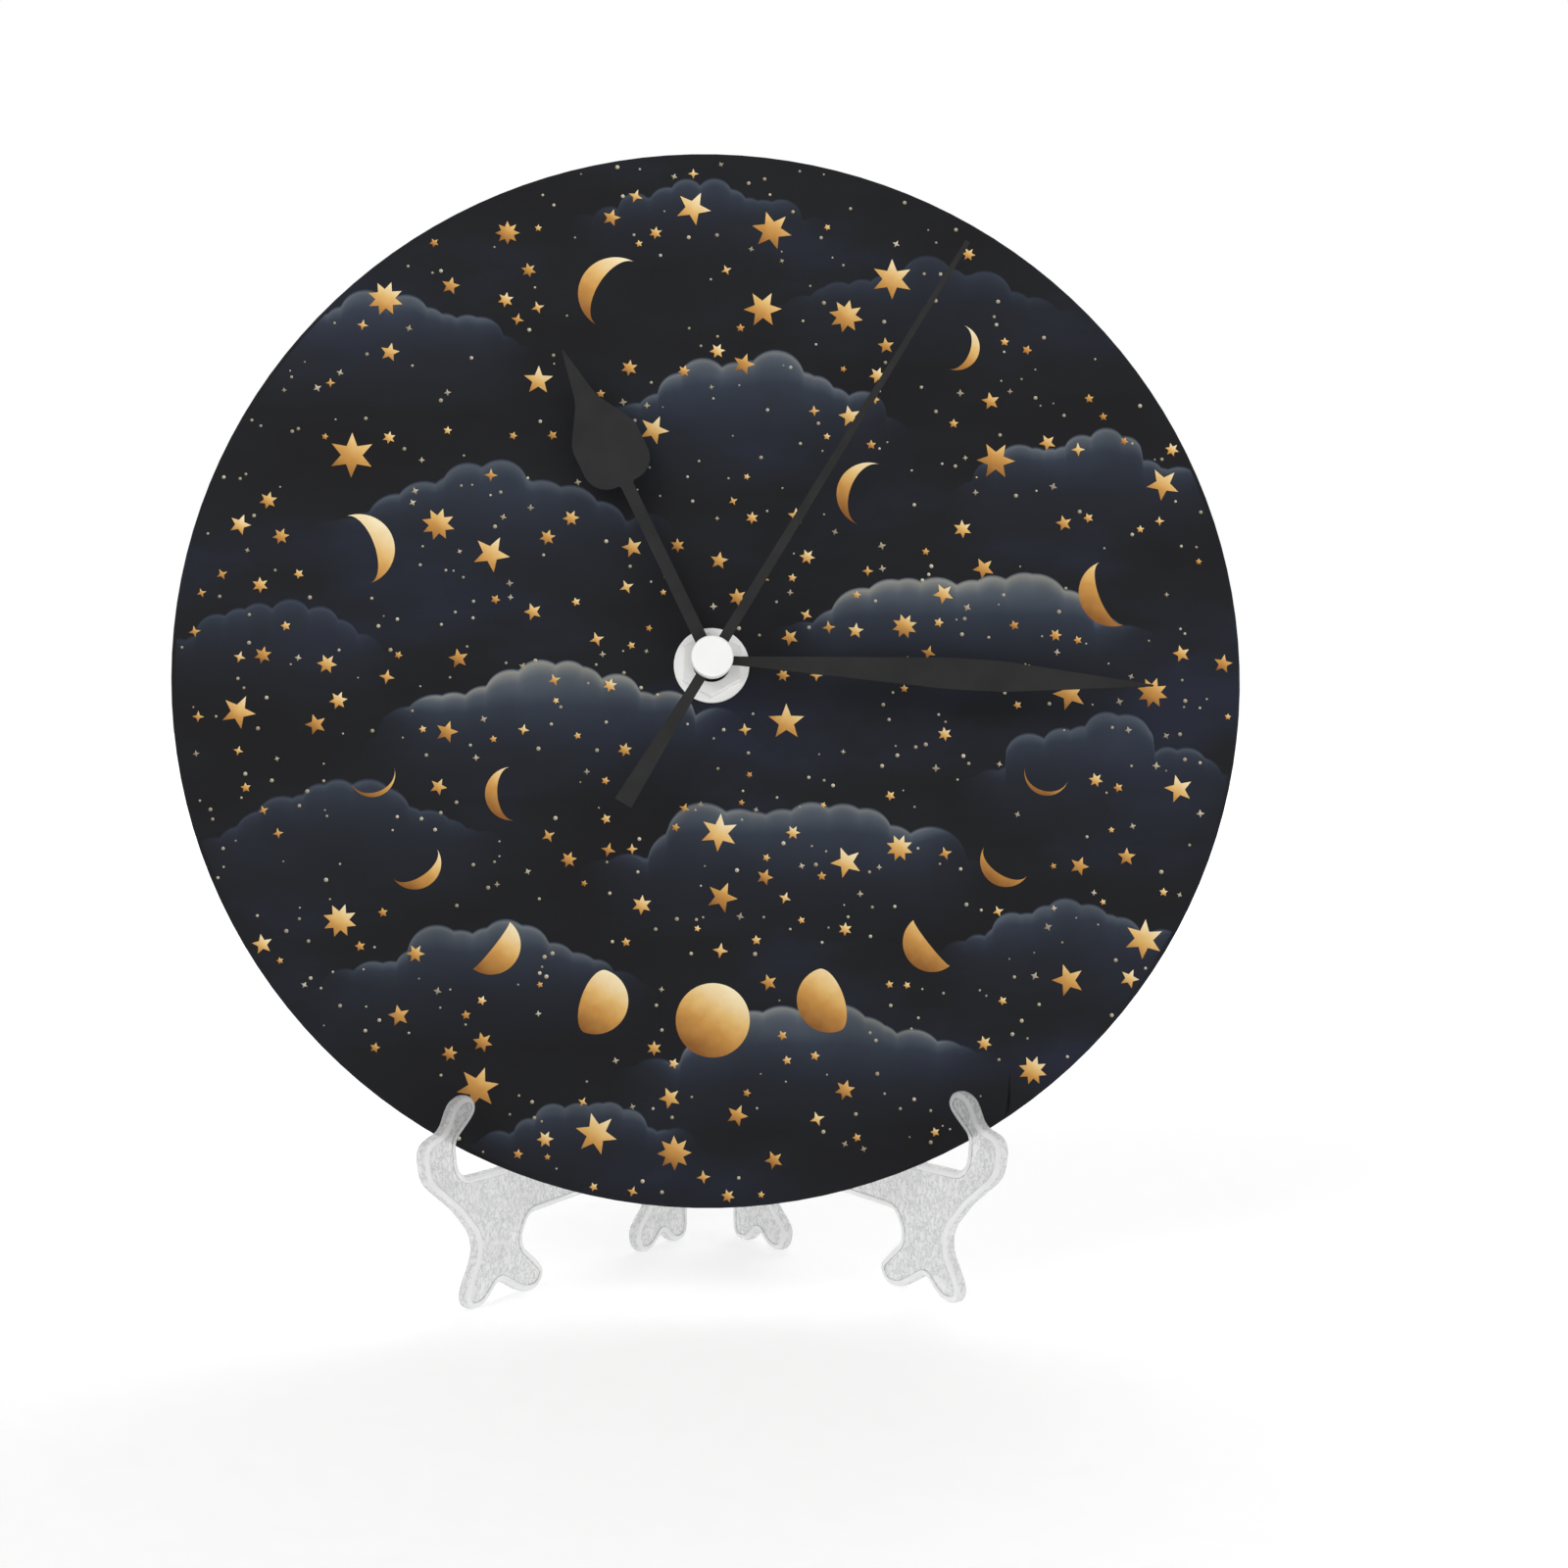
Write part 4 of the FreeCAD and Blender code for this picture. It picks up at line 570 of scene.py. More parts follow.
# How much a shape's tone rises towards its right and its top.
LIGHT_SLOPE = np.array([0.45, 0.75])
MOON_ROWS = 7
MOON_STEPS = 36


def mesh_object(name, points, tone, faces, body, material, smooth=False):
    """One piece from points in metres, with the tone stored at its points."""
    mesh = bpy.data.meshes.new(name)
    mesh.from_pydata(points.tolist(), [], faces)
    mesh.attributes.new("tone", "FLOAT", "POINT").data.foreach_set("value", tone.astype(np.float32))
    mesh.polygons.foreach_set("use_smooth", [smooth] * len(mesh.polygons))
    mesh.materials.append(material)
    made = bpy.data.objects.new(name, mesh)
    bpy.context.scene.collection.objects.link(made)
    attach(made, body)
    print(name, len(mesh.vertices), "points", len(mesh.polygons), "faces")
    return made


def stars(centres, radii, turns, tips, inner):
    """Fans round each centre. Rim point k lies at angle turn + pi k / tips, at the star's
    radius for even k and at the inner share of it for odd k."""
    count = len(centres)
    step = np.arange(2 * tips)
    angle = turns[:, None] + np.pi * step / tips
    reach = radii[:, None] * np.where(step % 2, inner, 1.0)
    rim = np.stack([reach * np.sin(angle), reach * np.cos(angle)], axis=2)
    offsets = np.concatenate([np.zeros((count, 1, 2)), rim], axis=1)
    points = (centres[:, None, :] + offsets).reshape(-1, 2)
    shine = (offsets @ LIGHT_SLOPE / radii[:, None]).reshape(-1)
    base = np.arange(count)[:, None] * (2 * tips + 1)
    faces = np.stack([base + 0 * step, base + 1 + (step + 1) % (2 * tips), base + 1 + step], axis=2)
    return points, shine, faces.reshape(-1, 3)


def moon(centre, radius, shadow, turn):
    """Between the limb, a half circle, and the terminator, half an ellipse whose width is the
    radius times the shadow: 1 is a new moon, 0 a half moon and -1 a full one."""
    angle = np.linspace(-np.pi / 2, np.pi / 2, MOON_STEPS)
    across = np.linspace(0, 1, MOON_ROWS)[:, None]
    width = radius * (shadow + (1 - shadow) * across) * np.cos(angle)
    height = radius * np.sin(angle) + 0 * across
    along = np.array([math.cos(turn), math.sin(turn)])
    upwards = np.array([-math.sin(turn), math.cos(turn)])
    points = (width[..., None] * along + height[..., None] * upwards).reshape(-1, 2)
    shine = points @ LIGHT_SLOPE / radius
    cell = np.arange((MOON_ROWS - 1) * MOON_STEPS).reshape(-1, MOON_STEPS)[:, :-1].reshape(-1)
    faces = np.stack([cell, cell + MOON_STEPS, cell + MOON_STEPS + 1, cell + 1], axis=1)
    return centre + points, shine, faces


def used_only(points, tone, faces):
    """Leaves out the points that no face uses, and counts the faces' corners anew."""
    used, counted = np.unique(faces, return_inverse=True)
    return points[used], tone[used], counted.reshape(faces.shape)


def gather(shapes):
    """Joins (points, tone, faces) shapes, with each one's faces counted on."""
    starts = np.cumsum([0] + [len(points) for points, _, _ in shapes[:-1]])
    points = np.concatenate([points for points, _, _ in shapes])
    tone = np.concatenate([tone for _, tone, _ in shapes])
    faces = [face for start, (_, _, part) in zip(starts, shapes) for face in (part + start).tolist()]
    return points, tone, faces


def lay_on_face(name, shapes, material):
    """Joins flat shapes into one piece at the ink's level."""
    points, tone, faces = gather(shapes)
    flat = placed(CLOCK, np.c_[points, np.full(len(points), INK_LEVEL)])
    mesh_object(name, flat, tone, faces, "clock", material)


print("ink lies", INK_LEVEL, "mm over the film, out to a radius of", FACE_EDGE, "mm")

# %% [markdown]
# The inks are gold that runs from copper in the shade to pale gold where it shines, and a
# quiet white for the smallest stars. Both are ramps over the tone at the points, with a
# little noise so that no two shapes match.

# %% Gold and white ink
def ink(name, stops):
    """A ramp through the stops over the tone, which a noise moves by up to 0.16."""
    material, tree = new_material(name)
    tone = add_node(tree, "ShaderNodeAttribute", attribute_name="tone").outputs["Fac"]
    inputs = {"Vector": object_coordinates(tree, CLOCK), "Scale": 420.0, "Detail": 2.0}
    noise = add_node(tree, "ShaderNodeTexNoise", inputs)
    inputs = {"Value": noise.outputs["Fac"], "To Min": -0.16, "To Max": 0.16}
    wander = add_node(tree, "ShaderNodeMapRange", inputs)
    inputs = {0: tone, 1: wander.outputs["Result"]}
    mixed = add_node(tree, "ShaderNodeMath", inputs, operation="ADD")
    inputs = {"Value": mixed.outputs[0], "From Min": -1.0, "From Max": 1.0}
    share = add_node(tree, "ShaderNodeMapRange", inputs)
    tint = ramp(tree, share.outputs["Result"], stops)
    matt_print(tree, tint, noise.outputs["Fac"])
    return material


GOLD = ink("gold_ink", [
    (0.10, colour("8a5a2c")), (0.42, colour("c8924c")), (0.62, colour("e3ba74")), (0.92, colour("f8e8c0"))
])
PALE = ink("pale_ink", [(0.0, colour("5d5a55")), (0.5, colour("a79a80")), (1.0, colour("f0ead8"))])
print("inks", GOLD.name, "and", PALE.name)

# %% [markdown]
# A chain of moon phases curves across the lower half of the sky, from a thin crescent to a
# full moon and back, with a few loose crescents above. Each moon's place is listed, because a phase
# chain has an order. The stars are scattered by a seeded generator that keeps them clear of
# the moons, the washer and each other. The gold ones come first, from large to small, then
# small pale stars and six-sided dots.

# %% Moons and stars
rng = np.random.default_rng(26)
WASHER_CLEAR = 7.6
MOON_SPARE = 1.5
CHAIN_RADIUS = 66.0
# Degrees round the face, radius, and shadow.
CHAIN = ((198, 4.2, 0.80), (214, 4.8, 0.55), (232, 5.4, 0.10), (251, 6.0, -0.45), (270, 6.8, -1.0),
         (289, 6.0, -0.45), (308, 5.4, 0.10), (326, 4.8, 0.55), (342, 4.2, 0.80))
# Place, radius, shadow, and turn in degrees.
LOOSE_MOONS = ((-18, 72, 7.2, 0.52, 150), (-66, 22, 6.8, 0.46, 20), (30, 33, 6.2, 0.60, 160),
               (76, 14, 6.4, 0.40, 200), (47, 62, 4.6, 0.62, 340), (-37, -24, 5.0, 0.55, 185))
# For each kind: count, least and greatest radius, spare gap, tips, and the inner radius's share.
GOLD_STARS = (
    (9, 3.4, 4.4, 5.0, 6, 0.46), (12, 2.6, 3.6, 4.0, 5, 0.42), (10, 2.2, 3.4, 3.5, 8, 0.55),
    (34, 1.5, 2.2, 2.0, 5, 0.44), (42, 1.2, 1.9, 1.6, 6, 0.48), (46, 0.9, 1.5, 1.2, 4, 0.36),
    (90, 0.6, 1.0, 0.9, 5, 0.5),
)
PALE_STARS = ((80, 0.45, 0.85, 0.8, 4, 0.4), (430, 0.16, 0.42, 0.5, 3, 1.0))


def chain_place(degrees):
    """A point on the chain's circle."""
    turn = math.radians(degrees)
    return CHAIN_RADIUS * np.array([math.cos(turn), math.sin(turn)])


# Up to the full moon at the bottom, the lit side faces on along the chain, and after it back.
moons = [(chain_place(degrees), radius, shadow, math.radians(degrees + (90 if degrees <= 270 else 270)))
         for degrees, radius, shadow in CHAIN]
moons += [(np.array([x, y], float), radius, shadow, math.radians(turn))
          for x, y, radius, shadow, turn in LOOSE_MOONS]
# Blocks of places and radii that are taken: the moons and the washer, then each kind of star.
TAKEN = [np.array([[*centre, radius + MOON_SPARE] for centre, radius, _, _ in moons]
                  + [[0, 0, WASHER_CLEAR]])]


def scatter(count, low, high, spare):
    """Random places on the face that keep a spare gap to everything placed before."""
    taken = np.vstack(TAKEN)
    found = []
    while len(found) < count:
        radius = rng.uniform(low, high)
        place = rng.uniform(-FACE_EDGE, FACE_EDGE, 2)
        gap = np.hypot(*(taken[:, :2] - place).T) - taken[:, 2] - radius
        if np.hypot(*place) + radius < FACE_EDGE and gap.min() > spare:
            found.append((*place, radius))
            taken = np.vstack([taken, found[-1]])
    TAKEN.append(np.array(found))
    return TAKEN[-1]


def star_set(count, low, high, spare, tips, inner):
    """Stars of one kind, with their tone moved up or down as a whole."""
    found = scatter(count, low, high, spare)
    turns = rng.uniform(-0.5, 0.5, count)
    points, shine, faces = stars(found[:, :2], found[:, 2], turns, tips, inner)
    shift = np.repeat(rng.uniform(-0.35, 0.3, count), 2 * tips + 1)
    return points, shine * 0.8 + shift, faces


gold_shapes = [moon(*item) for item in moons] + [star_set(*values) for values in GOLD_STARS]
lay_on_face("gold_moons_and_stars", gold_shapes, GOLD)
lay_on_face("pale_stars", [star_set(*values) for values in PALE_STARS], PALE)

# %% [markdown]
# Low clouds lie across the sky: each has a scalloped top with a soft lit edge, and sinks
# downwards into the dark. A cloud is a sheet over a grid. Its top edge is the upper envelope
# of a row of circles, and its rows run down from that edge. Tone is a sum of two parts, body
# by height and rim by the depth below the edge, and the ink mixes mist into the sky's own
# colour by it, so that the foot can't be told from the sky. Lower clouds lie over higher ones.

# %% Clouds
# Place of the middle, width, depth, and how bright its ink is.
CLOUDS = (
    (-2, 84, 52, 12, 0.6), (-62, 58, 60, 16, 0.75), (42, 66, 64, 13, 0.5), (8, 44, 66, 18, 0.85),
    (72, 32, 56, 16, 0.8), (-40, 22, 72, 18, 0.7), (-82, 0, 50, 14, 0.55), (48, 2, 78, 18, 1.0),
    (-28, -15, 76, 17, 1.0), (74, -24, 58, 16, 0.7), (-68, -36, 62, 16, 0.6), (14, -41, 80, 17, 0.85),
    (66, -57, 54, 14, 0.7), (-42, -62, 66, 15, 0.8), (18, -78, 74, 14, 0.9), (-24, -90, 46, 10, 0.7),
)
# Circles along a cloud's top, points along it, and the rows' places from the top to the foot.
LOBES = 15
CLOUD_STEPS = 240
CLOUD_ROWS = (0, 0.01, 0.025, 0.045, 0.08, 0.13, 0.2, 0.32, 0.5, 0.72, 1.0)
# The foot lies this share of the depth below the middle.
CLOUD_FOOT = 0.6
# Under the washer the face stays clear. Each cloud lies a step over the one before it.
CLOUD_CLEAR = 6.6
CLOUD_LEVEL = 0.006
LEVEL_STEP = 0.002
RIM_FADE = 1.6
EDGE_FADE = 0.4


def smooth_step(share):
    """3t^2 - 2t^3, with t kept between 0 and 1."""
    share = np.clip(share, 0, 1)
    return share**2 * (3 - 2 * share)


def cloud_top(across, width, depth):
    """The highest of a row of circles whose centres climb towards the middle. Columns that
    no circle reaches drop nearly to the foot."""
    middle = np.linspace(-0.44, 0.44, LOBES) * width + rng.uniform(-0.02, 0.02, LOBES) * width
    hump = np.cos(middle / width * np.pi)
    radius = width * rng.uniform(0.05, 0.085, LOBES)
    rise = depth * (0.75 * hump**1.4 - 0.15 + rng.uniform(-0.11, 0.11, LOBES))
    inside = radius[:, None] ** 2 - (across - middle[:, None]) ** 2
    reach = np.where(inside > 0, rise[:, None] + np.sqrt(np.abs(inside)), -0.5 * depth)
    return reach.max(axis=0)


def cloud(order, x, y, width, depth, glow):
    """A sheet of rows between the scalloped top and a level foot. Its tone is 0.55 times the
    body, a power of the height, plus 0.45 times the rim, which falls off exponentially below
    the edge. A thin dark edge and both faded ends then lower it."""
    across = np.linspace(-0.5, 0.5, CLOUD_STEPS) * width
    ends = smooth_step((0.5 - np.abs(across / width)) * 5)
    top = cloud_top(across, width, depth)
    down = np.array(CLOUD_ROWS)[:, None]
    height = top - down * (top + CLOUD_FOOT * depth)
    sunk = top - height
    body = np.clip((height / depth + CLOUD_FOOT) / 1.3, 0, 1) ** 1.2
    tone = 0.55 * body + 0.45 * np.exp(-sunk / RIM_FADE)
    tone = tone * np.clip(0.3 + 0.7 * sunk / EDGE_FADE, 0, 1)
    points = np.stack([x + across + 0 * down, y + height], axis=2).reshape(-1, 2)
    points *= np.minimum(1, FACE_EDGE / np.hypot(*points.T))[:, None]
    level = np.full(len(points), CLOUD_LEVEL + LEVEL_STEP * order)
    cell = (np.arange(len(down) - 1)[:, None] * CLOUD_STEPS + np.arange(CLOUD_STEPS - 1)).reshape(-1)
    faces = np.stack([cell, cell + CLOUD_STEPS, cell + CLOUD_STEPS + 1, cell + 1], axis=1)
    clear = np.hypot(*points.T)[faces].min(axis=1) > CLOUD_CLEAR
    return used_only(np.c_[points, level], (tone * ends * glow).reshape(-1), faces[clear])


def cloud_ink():
    """Sky, mixed with mist by a share that falls with the tone and wanders a little."""
    material, tree = new_material("cloud_ink")
    vector = object_coordinates(tree, CLOCK)
    sky = sky_group(tree, vector)
    tone = add_node(tree, "ShaderNodeAttribute", attribute_name="tone").outputs["Fac"]
    inputs = {"Vector": vector, "Scale": 70.0, "Detail": 4.0}
    billows = add_node(tree, "ShaderNodeTexNoise", inputs).outputs["Fac"]
    inputs = {"Value": billows, "From Min": 0.3, "From Max": 0.7, "To Min": 0.75, "To Max": 1.15}
    patchy = add_node(tree, "ShaderNodeMapRange", inputs).outputs["Result"]
    stops = [(0.2, colour("2c313e")), (0.42, colour("39414f")), (0.62, colour("5b626b"))]
    mist = ramp(tree, tone, stops + [(0.85, colour("8c8d86"))])
    thick = ramp(tree, tone, [(0.0, 0.0), (0.2, 0.35), (0.5, 0.8), (0.8, 1.0)])
    share = add_node(tree, "ShaderNodeMath", {0: thick, 1: patchy}, operation="MULTIPLY", use_clamp=True)
    inputs = {0: share.outputs[0], 6: sky.outputs["Colour"], 7: mist}
    mixed = add_node(tree, "ShaderNodeMix", inputs, data_type="RGBA").outputs[2]
    matt_print(tree, mixed, sky.outputs["Height"])
    return material


points, tone, faces = gather([cloud(order, *values) for order, values in enumerate(CLOUDS)])
mesh_object("clouds", placed(CLOCK, points), tone, faces, "clock", cloud_ink())

# %% [markdown]
# The easel is clear plastic from a mould. Its rods and bars are smooth, while each wing has a
# smooth rounded rim round a pebbled panel that scatters the light. Real clear plastic is
# mostly seen by what it reflects and bends, so the shader transmits, and a share of plain
# white stands for the haze of a cheap moulding. It also lets some light straight through,
# because bent light alone would hide what lies behind. The panel's finest grain is too small
# to build, so a group draws its winding creases, as a relief and as a darker tint of painted shade.

# %% Clear plastic
CREASE_SCALE = 1100.0
CREASE_DEPTH = 0.00016
FLOW_DEPTH = 0.00004


def make_crumple_group():
    """Crease is low along winding lines, where a noise crosses its middle value."""
    values = {"Vector": (0.0, 0.0, 0.0), "Scale": CREASE_SCALE}
    tree, given = new_group("crumpled_grain", values, ("Crease",))
    flat = add_node(tree, "ShaderNodeMapping", {"Vector": given["Vector"], "Scale": (1.0, 1.0, 0.6)})
    inputs = {"Vector": flat.outputs["Vector"], "Scale": given["Scale"]}
    inputs |= {"Detail": 2.0, "Distortion": 0.7}
    noise = add_node(tree, "ShaderNodeTexNoise", inputs).outputs["Fac"]
    lines = ramp(tree, noise, [(0.40, 1.0), (0.47, 0.35), (0.50, 0.0), (0.53, 0.35), (0.60, 1.0)])
    return close_group(tree, crease=lines)


CRUMPLE = make_crumple_group()


def panel_finish(tree, vector):
    """Tint and height of a toned piece: the tone's greys, creased where the tone is a panel's.
    The greys and the darker creases are painted shade.
    """
    tone = add_node(tree, "ShaderNodeAttribute", attribute_name="tone").outputs["Fac"]
    white = colour("ffffff")
    # Painted shade: where the tone is low, at the edge, the panel's border and in creases, the plastic
    # turns grey.
    stops = [(0.0, colour("8a8d8f")), (0.25, colour("cfd1d2")), (0.5, colour("f6f6f6")), (1.0, white)]
    greys = ramp(tree, tone, stops)
    panel = ramp(tree, tone, [(0.8, 0.75), (0.9, 0.0)])
    crease = wired_group(tree, CRUMPLE, vector, CREASE_SCALE).outputs["Crease"]
    # Painted shade: the tint darkens along the creases.
    crease_shade = ramp(tree, crease, [(0.0, colour("a9acae")), (0.6, colour("f0f1f1")), (1.0, white)])
    inputs = {0: panel, 6: greys, 7: crease_shade}
    mixed = add_node(tree, "ShaderNodeMix", inputs, data_type="RGBA", blend_type="MULTIPLY")
    height = add_node(tree, "ShaderNodeMath", {0: crease, 1: panel}, operation="MULTIPLY")
    return mixed.outputs[2], height.outputs[0]


def clear_plastic(name, cover, haze, rough, toned=False):
    """Cover is the share of light that the surface catches at all, and haze the part of
    that which scatters. A toned piece has a panel's grain."""
    material, tree = new_material(name)
    vector = object_coordinates(tree)
    if toned:
        tint, height = panel_finish(tree, vector)
    else:
        height = wired_group(tree, GRAIN, vector, 260.0).outputs["Shade"]
        tint = ramp(tree, height, [(0.3, colour("f4f5f5")), (0.7, colour("fbfbfb"))])
    inputs = {"Height": height, "Distance": CREASE_DEPTH if toned else FLOW_DEPTH}
    bump = add_node(tree, "ShaderNodeBump", inputs)
    roughness = rubbed(tree, vector, 500.0, rough, rough + 0.12)
    inputs = {"Base Color": tint, "Roughness": roughness, "IOR": 1.49}
    inputs |= {"Transmission Weight": 1.0 - haze, "Alpha": cover, "Normal": bump.outputs["Normal"]}
    principled(tree, inputs)
    return material


SMOOTH_CLEAR = clear_plastic("clear_plastic", 0.6, 0.4, 0.08)
PEBBLED = clear_plastic("pebbled_plastic", 0.65, 0.55, 0.3, toned=True)
dress(SMOOTH_CLEAR, "easel_spine")

# %% [markdown]
# A wing's outline has dozens of arcs, and it is already exact in its solid. So it is read
# there: the triangles on the plate's flat rim have a border, and its longest loop is the
# outline. A mould's outer corners are rounder than the solid's. So each point of the outline
# moves towards the mean of its neighbours, and only inwards, which keeps the wing in its box.

# %% Reading a wing's outline
# Name, side of the clock, the body that it is part of, and the seed of its pebbles.
WINGS = (("left_wing", -1, "left_side", 3), ("right_wing", 1, "right_side", 40))
# In millimetres: half the plate's thickness, the slack in finding its flat front, and the
# distance between two points of the outline.
PLATE_HALF = 1.3
LEVEL_SLACK = 0.01
OUTLINE_STEP = 0.4
SOFTENING_ROUNDS = 3
# Gaussian weights of the five neighbours on each side and of the point itself.
SOFTENING = tuple((step, math.exp(-(step**2) / 6)) for step in range(-5, 6))
SOFTENING_SUM = sum(weight for step, weight in SOFTENING)


def merged(points, triangles):
    """Points that coincide become one, and the triangles follow."""
    keys = np.round(points, 4)
    unique, index = np.unique(keys, axis=0, return_inverse=True)
    return unique, index.reshape(-1)[triangles]


def border_loops(triangles):
    """Chains the edges that belong to one triangle only into closed loops."""
    sides = np.concatenate([triangles[:, [0, 1]], triangles[:, [1, 2]], triangles[:, [2, 0]]])
    _, first, counts = np.unique(np.sort(sides, axis=1), axis=0, return_index=True, return_counts=True)
    following = dict(sides[first[counts == 1]].tolist())
    loops = []
    while following:
        start, here = following.popitem()
        loop = [start]
        while here != start:
            loop.append(here)
            here = following.pop(here)
        loops.append(loop)
    return loops


def inward_normals(outline):
    """Unit normals that point into the shape, whichever way the outline turns."""
    ahead = np.roll(outline, -1, axis=0) - np.roll(outline, 1, axis=0)
    inwards = np.stack([-ahead[:, 1], ahead[:, 0]], axis=1) / np.hypot(*ahead.T)[:, None]
    following = np.roll(outline, -1, axis=0)
    return inwards * np.sign((outline[:, 0] * following[:, 1] - following[:, 0] * outline[:, 1]).sum())


def softened(outline):
    """Each point moves towards its neighbours' weighted mean, but only inwards, so outer
    corners get round and nothing grows."""
    for _ in range(SOFTENING_ROUNDS):
        inwards = inward_normals(outline)
        moved = [weight * np.roll(outline, step, axis=0) for step, weight in SOFTENING]
        mean = sum(moved) / SOFTENING_SUM
        shift = ((mean - outline) * inwards).sum(axis=1)
        outline = outline + inwards * np.clip(shift, 0, None)[:, None]
    return outline


def wing_outline(name, matrix):
    """The plate's outline in millimetres, in even steps along it."""
    data = NODES[name].data
    data.calc_loop_triangles()
    points = np.empty(len(data.vertices) * 3)
    data.vertices.foreach_get("co", points)
    triangles = np.empty(len(data.loop_triangles) * 3, int)
    data.loop_triangles.foreach_get("vertices", triangles)
    turn = np.array(matrix.to_3x3())
    flat = (points.reshape(-1, 3) - np.array(matrix.translation)) @ turn / MM
    unique, triangles = merged(flat, triangles.reshape(-1, 3))
    level = np.abs(unique[:, 2] - PLATE_HALF) < LEVEL_SLACK
    rim = triangles[level[triangles].all(axis=1)]
    loop = max(border_loops(rim), key=len)
    corners = unique[loop + loop[:1], :2]
    length = np.r_[0, np.cumsum(np.hypot(*np.diff(corners, axis=0).T))]
    even = np.linspace(0, length[-1], int(length[-1] / OUTLINE_STEP), endpoint=False)
    return softened(np.stack([np.interp(even, length, corners[:, axis]) for axis in (0, 1)], axis=1))


OUTLINES = {name: wing_outline(name, wing_matrix(side)) for name, side, _, _ in WINGS}
print("outline points", {name: len(outline) for name, outline in OUTLINES.items()})

# %% [markdown]
# The new wing is a height over the flat shape: from the outline it rounds up in a quarter
# circle, runs along the rim, steps down to the panel, and there the pebbles begin. They come
# from value noise: random heights on a square lattice, blended between lattice points with a
# smooth step. The root of its size is zero along winding lines, which are the creases between
# pebbles. Creases, the panel's border and the wing's edge get a low tone, which is painted
# shade: there the plastic is tinted darker grey.

# %% Building a wing
# All in millimetres but for the lattice: how deep the panel lies, how round the edge is, where
# the step begins and how wide it is, the pebbles' height, and how large they and specks are.
PANEL_DEPTH = 0.3
RIM_ROUND = 0.85
RIM_WIDTH = 1.05
STEP_WIDTH = 0.35
PEBBLE_HEIGHT = 0.07
PEBBLE_SIZE = 1.1
SPECK_SIZE = 0.6
LATTICE = 256
# Where rings follow the outline, each so far inside it, and the grid's step within them.
INSETS = (0.06, 0.2, 0.42, 0.7, 0.95, 1.05, 1.14, 1.225, 1.31, 1.4, 1.6)
GRID = 0.42
# In millimetres, how far in from the wing's edge its painted shade reaches.
EDGE_SHADE_REACH = 0.14


def value_noise(points, cell, seed):
    """Random lattice values from -1 to 1, blended by 3t^2 - 2t^3 along both axes."""
    lattice = np.random.default_rng(seed).uniform(-1, 1, (LATTICE, LATTICE))
    place = points / cell
    low = np.floor(place).astype(int)
    share = smooth_step(place - low)
    corner = [lattice[(low[:, 0] + i) % LATTICE, (low[:, 1] + j) % LATTICE]
              for i in (0, 1) for j in (0, 1)]
    left = corner[0] + (corner[1] - corner[0]) * share[:, 1]
    right = corner[2] + (corner[3] - corner[2]) * share[:, 1]
    return left + (right - left) * share[:, 0]


def distance_inside(points, outline):
    """The least distance from each point to the outline's sides, in blocks to save memory."""
    side = np.roll(outline, -1, axis=0) - outline
    nearest = np.full(len(points), np.inf)
    for block in np.array_split(np.arange(len(points)), 12):
        towards = points[block, None, :] - outline
        along = np.clip((towards * side).sum(2) / (side**2).sum(1), 0, 1)
        nearest[block] = np.hypot(*(towards - along[..., None] * side).transpose(2, 0, 1)).min(axis=1)
    return nearest


def plate_relief(inside, points, seed):
    """Height: a quarter circle at the edge, then level, then a step down to the pebbles.
    Tone is painted shade: high on the rim, lower in creases, lowest halfway down the step
    and at the edge."""
    round_part = np.clip(RIM_ROUND - inside, 0, None)
    height = PLATE_HALF - RIM_ROUND + np.sqrt(RIM_ROUND**2 - round_part**2)
    sunk = smooth_step((inside - RIM_WIDTH) / STEP_WIDTH)
    humps = np.sqrt(np.abs(value_noise(points, PEBBLE_SIZE, seed)))
    pebbles = 1.7 * humps - 1 + 0.25 * value_noise(points, SPECK_SIZE, seed + 1)
    height -= sunk * (PANEL_DEPTH - PEBBLE_HEIGHT * pebbles)
    # Painted shade: the tone drops in the pebbles' creases, and most halfway down the step to the panel.
    border = 1 - np.abs(2 * sunk - 1)
    tone = (1 - sunk) + sunk * (0.6 + 0.15 * pebbles) - 0.85 * border
    # Painted shade: a thin darker line along the wing's edge.
    tone -= 0.5 * np.exp(-inside / EDGE_SHADE_REACH)
    return height, np.clip(tone, 0, 1)


def flat_points(outline):
    """Rings that follow the outline inwards, and an even grid inside them."""
    inwards = inward_normals(outline)
    rings = []
    for inset in INSETS:
        ring = outline + inwards * inset
        rings.append(ring[distance_inside(ring, outline) > inset * 0.97])
    low, high = outline.min(axis=0), outline.max(axis=0)
    columns, lines = [np.arange(low[axis], high[axis], GRID) for axis in (0, 1)]
    grid = np.stack(np.meshgrid(columns, lines), axis=2).reshape(-1, 2)
    return rings, grid[distance_inside(grid, outline) > INSETS[-1] + GRID / 2]


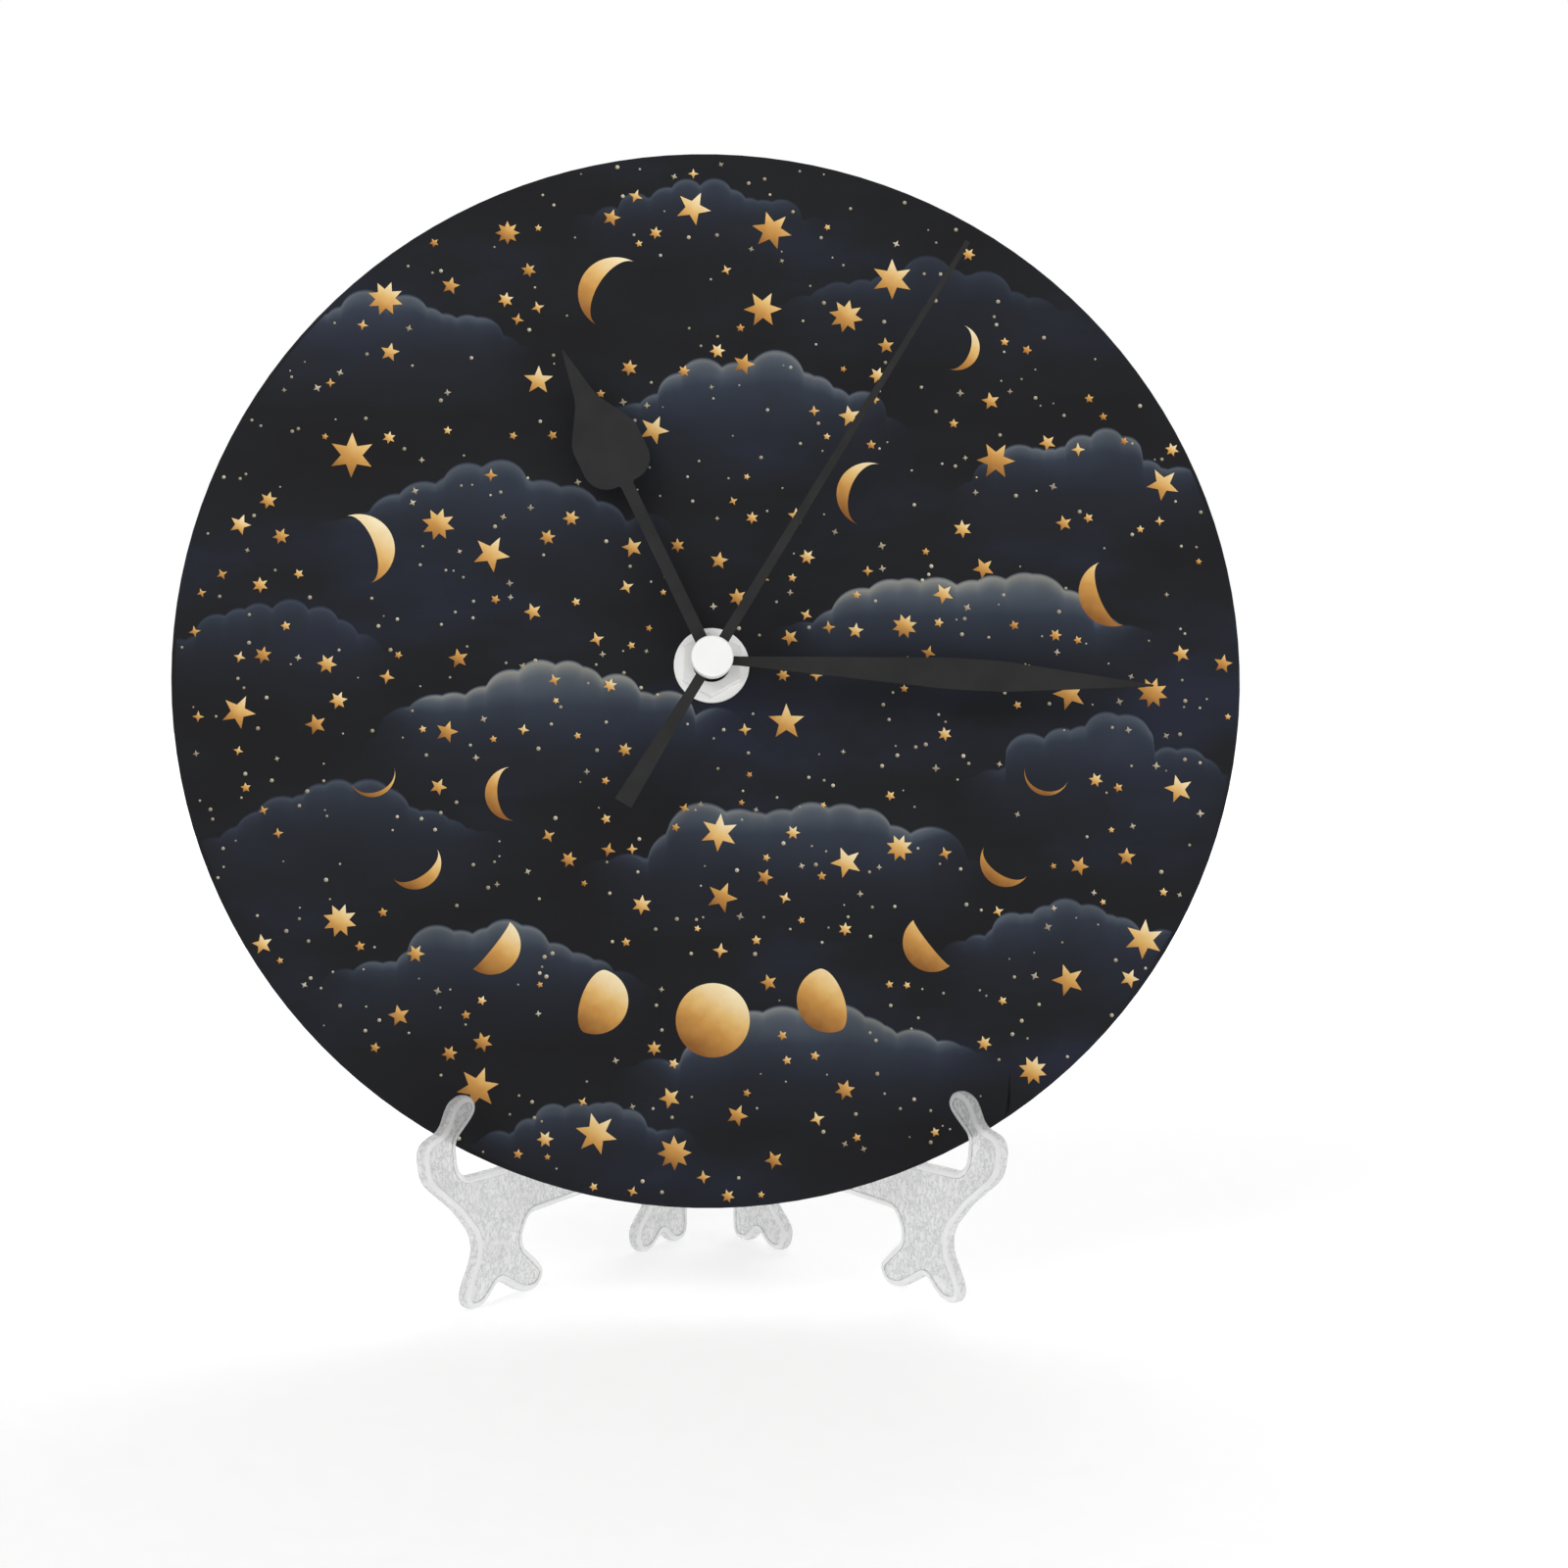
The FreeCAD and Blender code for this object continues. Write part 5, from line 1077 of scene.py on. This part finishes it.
def make_wing(name, side, body, seed):
    """A triangulated front, its mirrored back with other pebbles, and a wall between their
    edges. It takes the place of the frame's plain wing."""
    outline = OUTLINES[name]
    rings, grid = flat_points(outline)
    count = len(outline)
    loop = [(index, (index + 1) % count) for index in range(count)]
    flat = np.concatenate([outline, *rings, grid])
    found = delaunay_2d_cdt([Vector(point) for point in flat], loop, [], 1, 1e-7)
    spots = np.array([tuple(point) for point in found[0]])
    inside = distance_inside(spots, outline)
    spots, inside, triangles = used_only(spots, inside, np.array(found[2]))
    front_height, front_tone = plate_relief(inside, spots, seed)
    back_height, back_tone = plate_relief(inside, spots, seed + 7)
    flat = np.concatenate([np.c_[spots, front_height], np.c_[spots, -back_height]])
    tone = np.r_[front_tone, back_tone]
    total = len(spots)
    edge = border_loops(triangles)[0]
    wall = [(here, before, before + total, here + total) for here, before in zip(edge, edge[-1:] + edge)]
    faces = triangles.tolist() + (triangles[:, ::-1] + total).tolist() + wall
    points = placed(wing_matrix(side), flat)
    wing = mesh_object(f"{name}_plate", points, tone, faces, body, PEBBLED, True)
    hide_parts(name)


for values in WINGS:
    make_wing(*values)

# %% [markdown]
# Each wing turns on two barrels that are moulded with it and sit on one of the spine's rods. A
# barrel is a closed profile of radius and height, turned round the hinge: outer wall, both
# rounded ends and the bore.

# %% Hinge barrels
# The heights of the barrels' feet, and the profile in millimetres from foot to top and back.
BARREL_FEET = (31.3, 79.3)
BARREL_PROFILE = ((1.15, 0.1), (1.25, 0), (2.05, 0), (2.22, 0.08), (2.3, 0.25), (2.3, 19.75), (2.22, 19.92),
                  (2.05, 20), (1.25, 20), (1.15, 19.9))
BARREL_STEPS = 48


def barrel(foot, axis):
    """Radius times cosine and sine of the turn, over the profile's height."""
    radius, height = np.array(BARREL_PROFILE).T
    turn = np.linspace(0, 2 * np.pi, BARREL_STEPS, endpoint=False)[:, None]
    spots = [radius * np.cos(turn), radius * np.sin(turn), height + foot + 0 * turn]
    points = np.stack(spots, axis=2).reshape(-1, 3) * MM + axis
    count = len(radius)
    step, place = np.divmod(np.arange(BARREL_STEPS * count), count)
    ahead, above = (step + 1) % BARREL_STEPS * count, (place + 1) % count
    faces = np.stack([step * count + place, ahead + place, ahead + above, step * count + above], axis=1)
    return points, np.ones(len(points)), faces


for name, body in (("left", "left_side"), ("right", "right_side")):
    hinge = np.array([*JOINTS[f"{name}_fold"]["pos_m"][:2], 0.0])
    points, tone, faces = gather([barrel(foot, hinge) for foot in BARREL_FEET])
    mesh_object(f"{name}_barrels", points, tone, faces, body, PEBBLED, True)
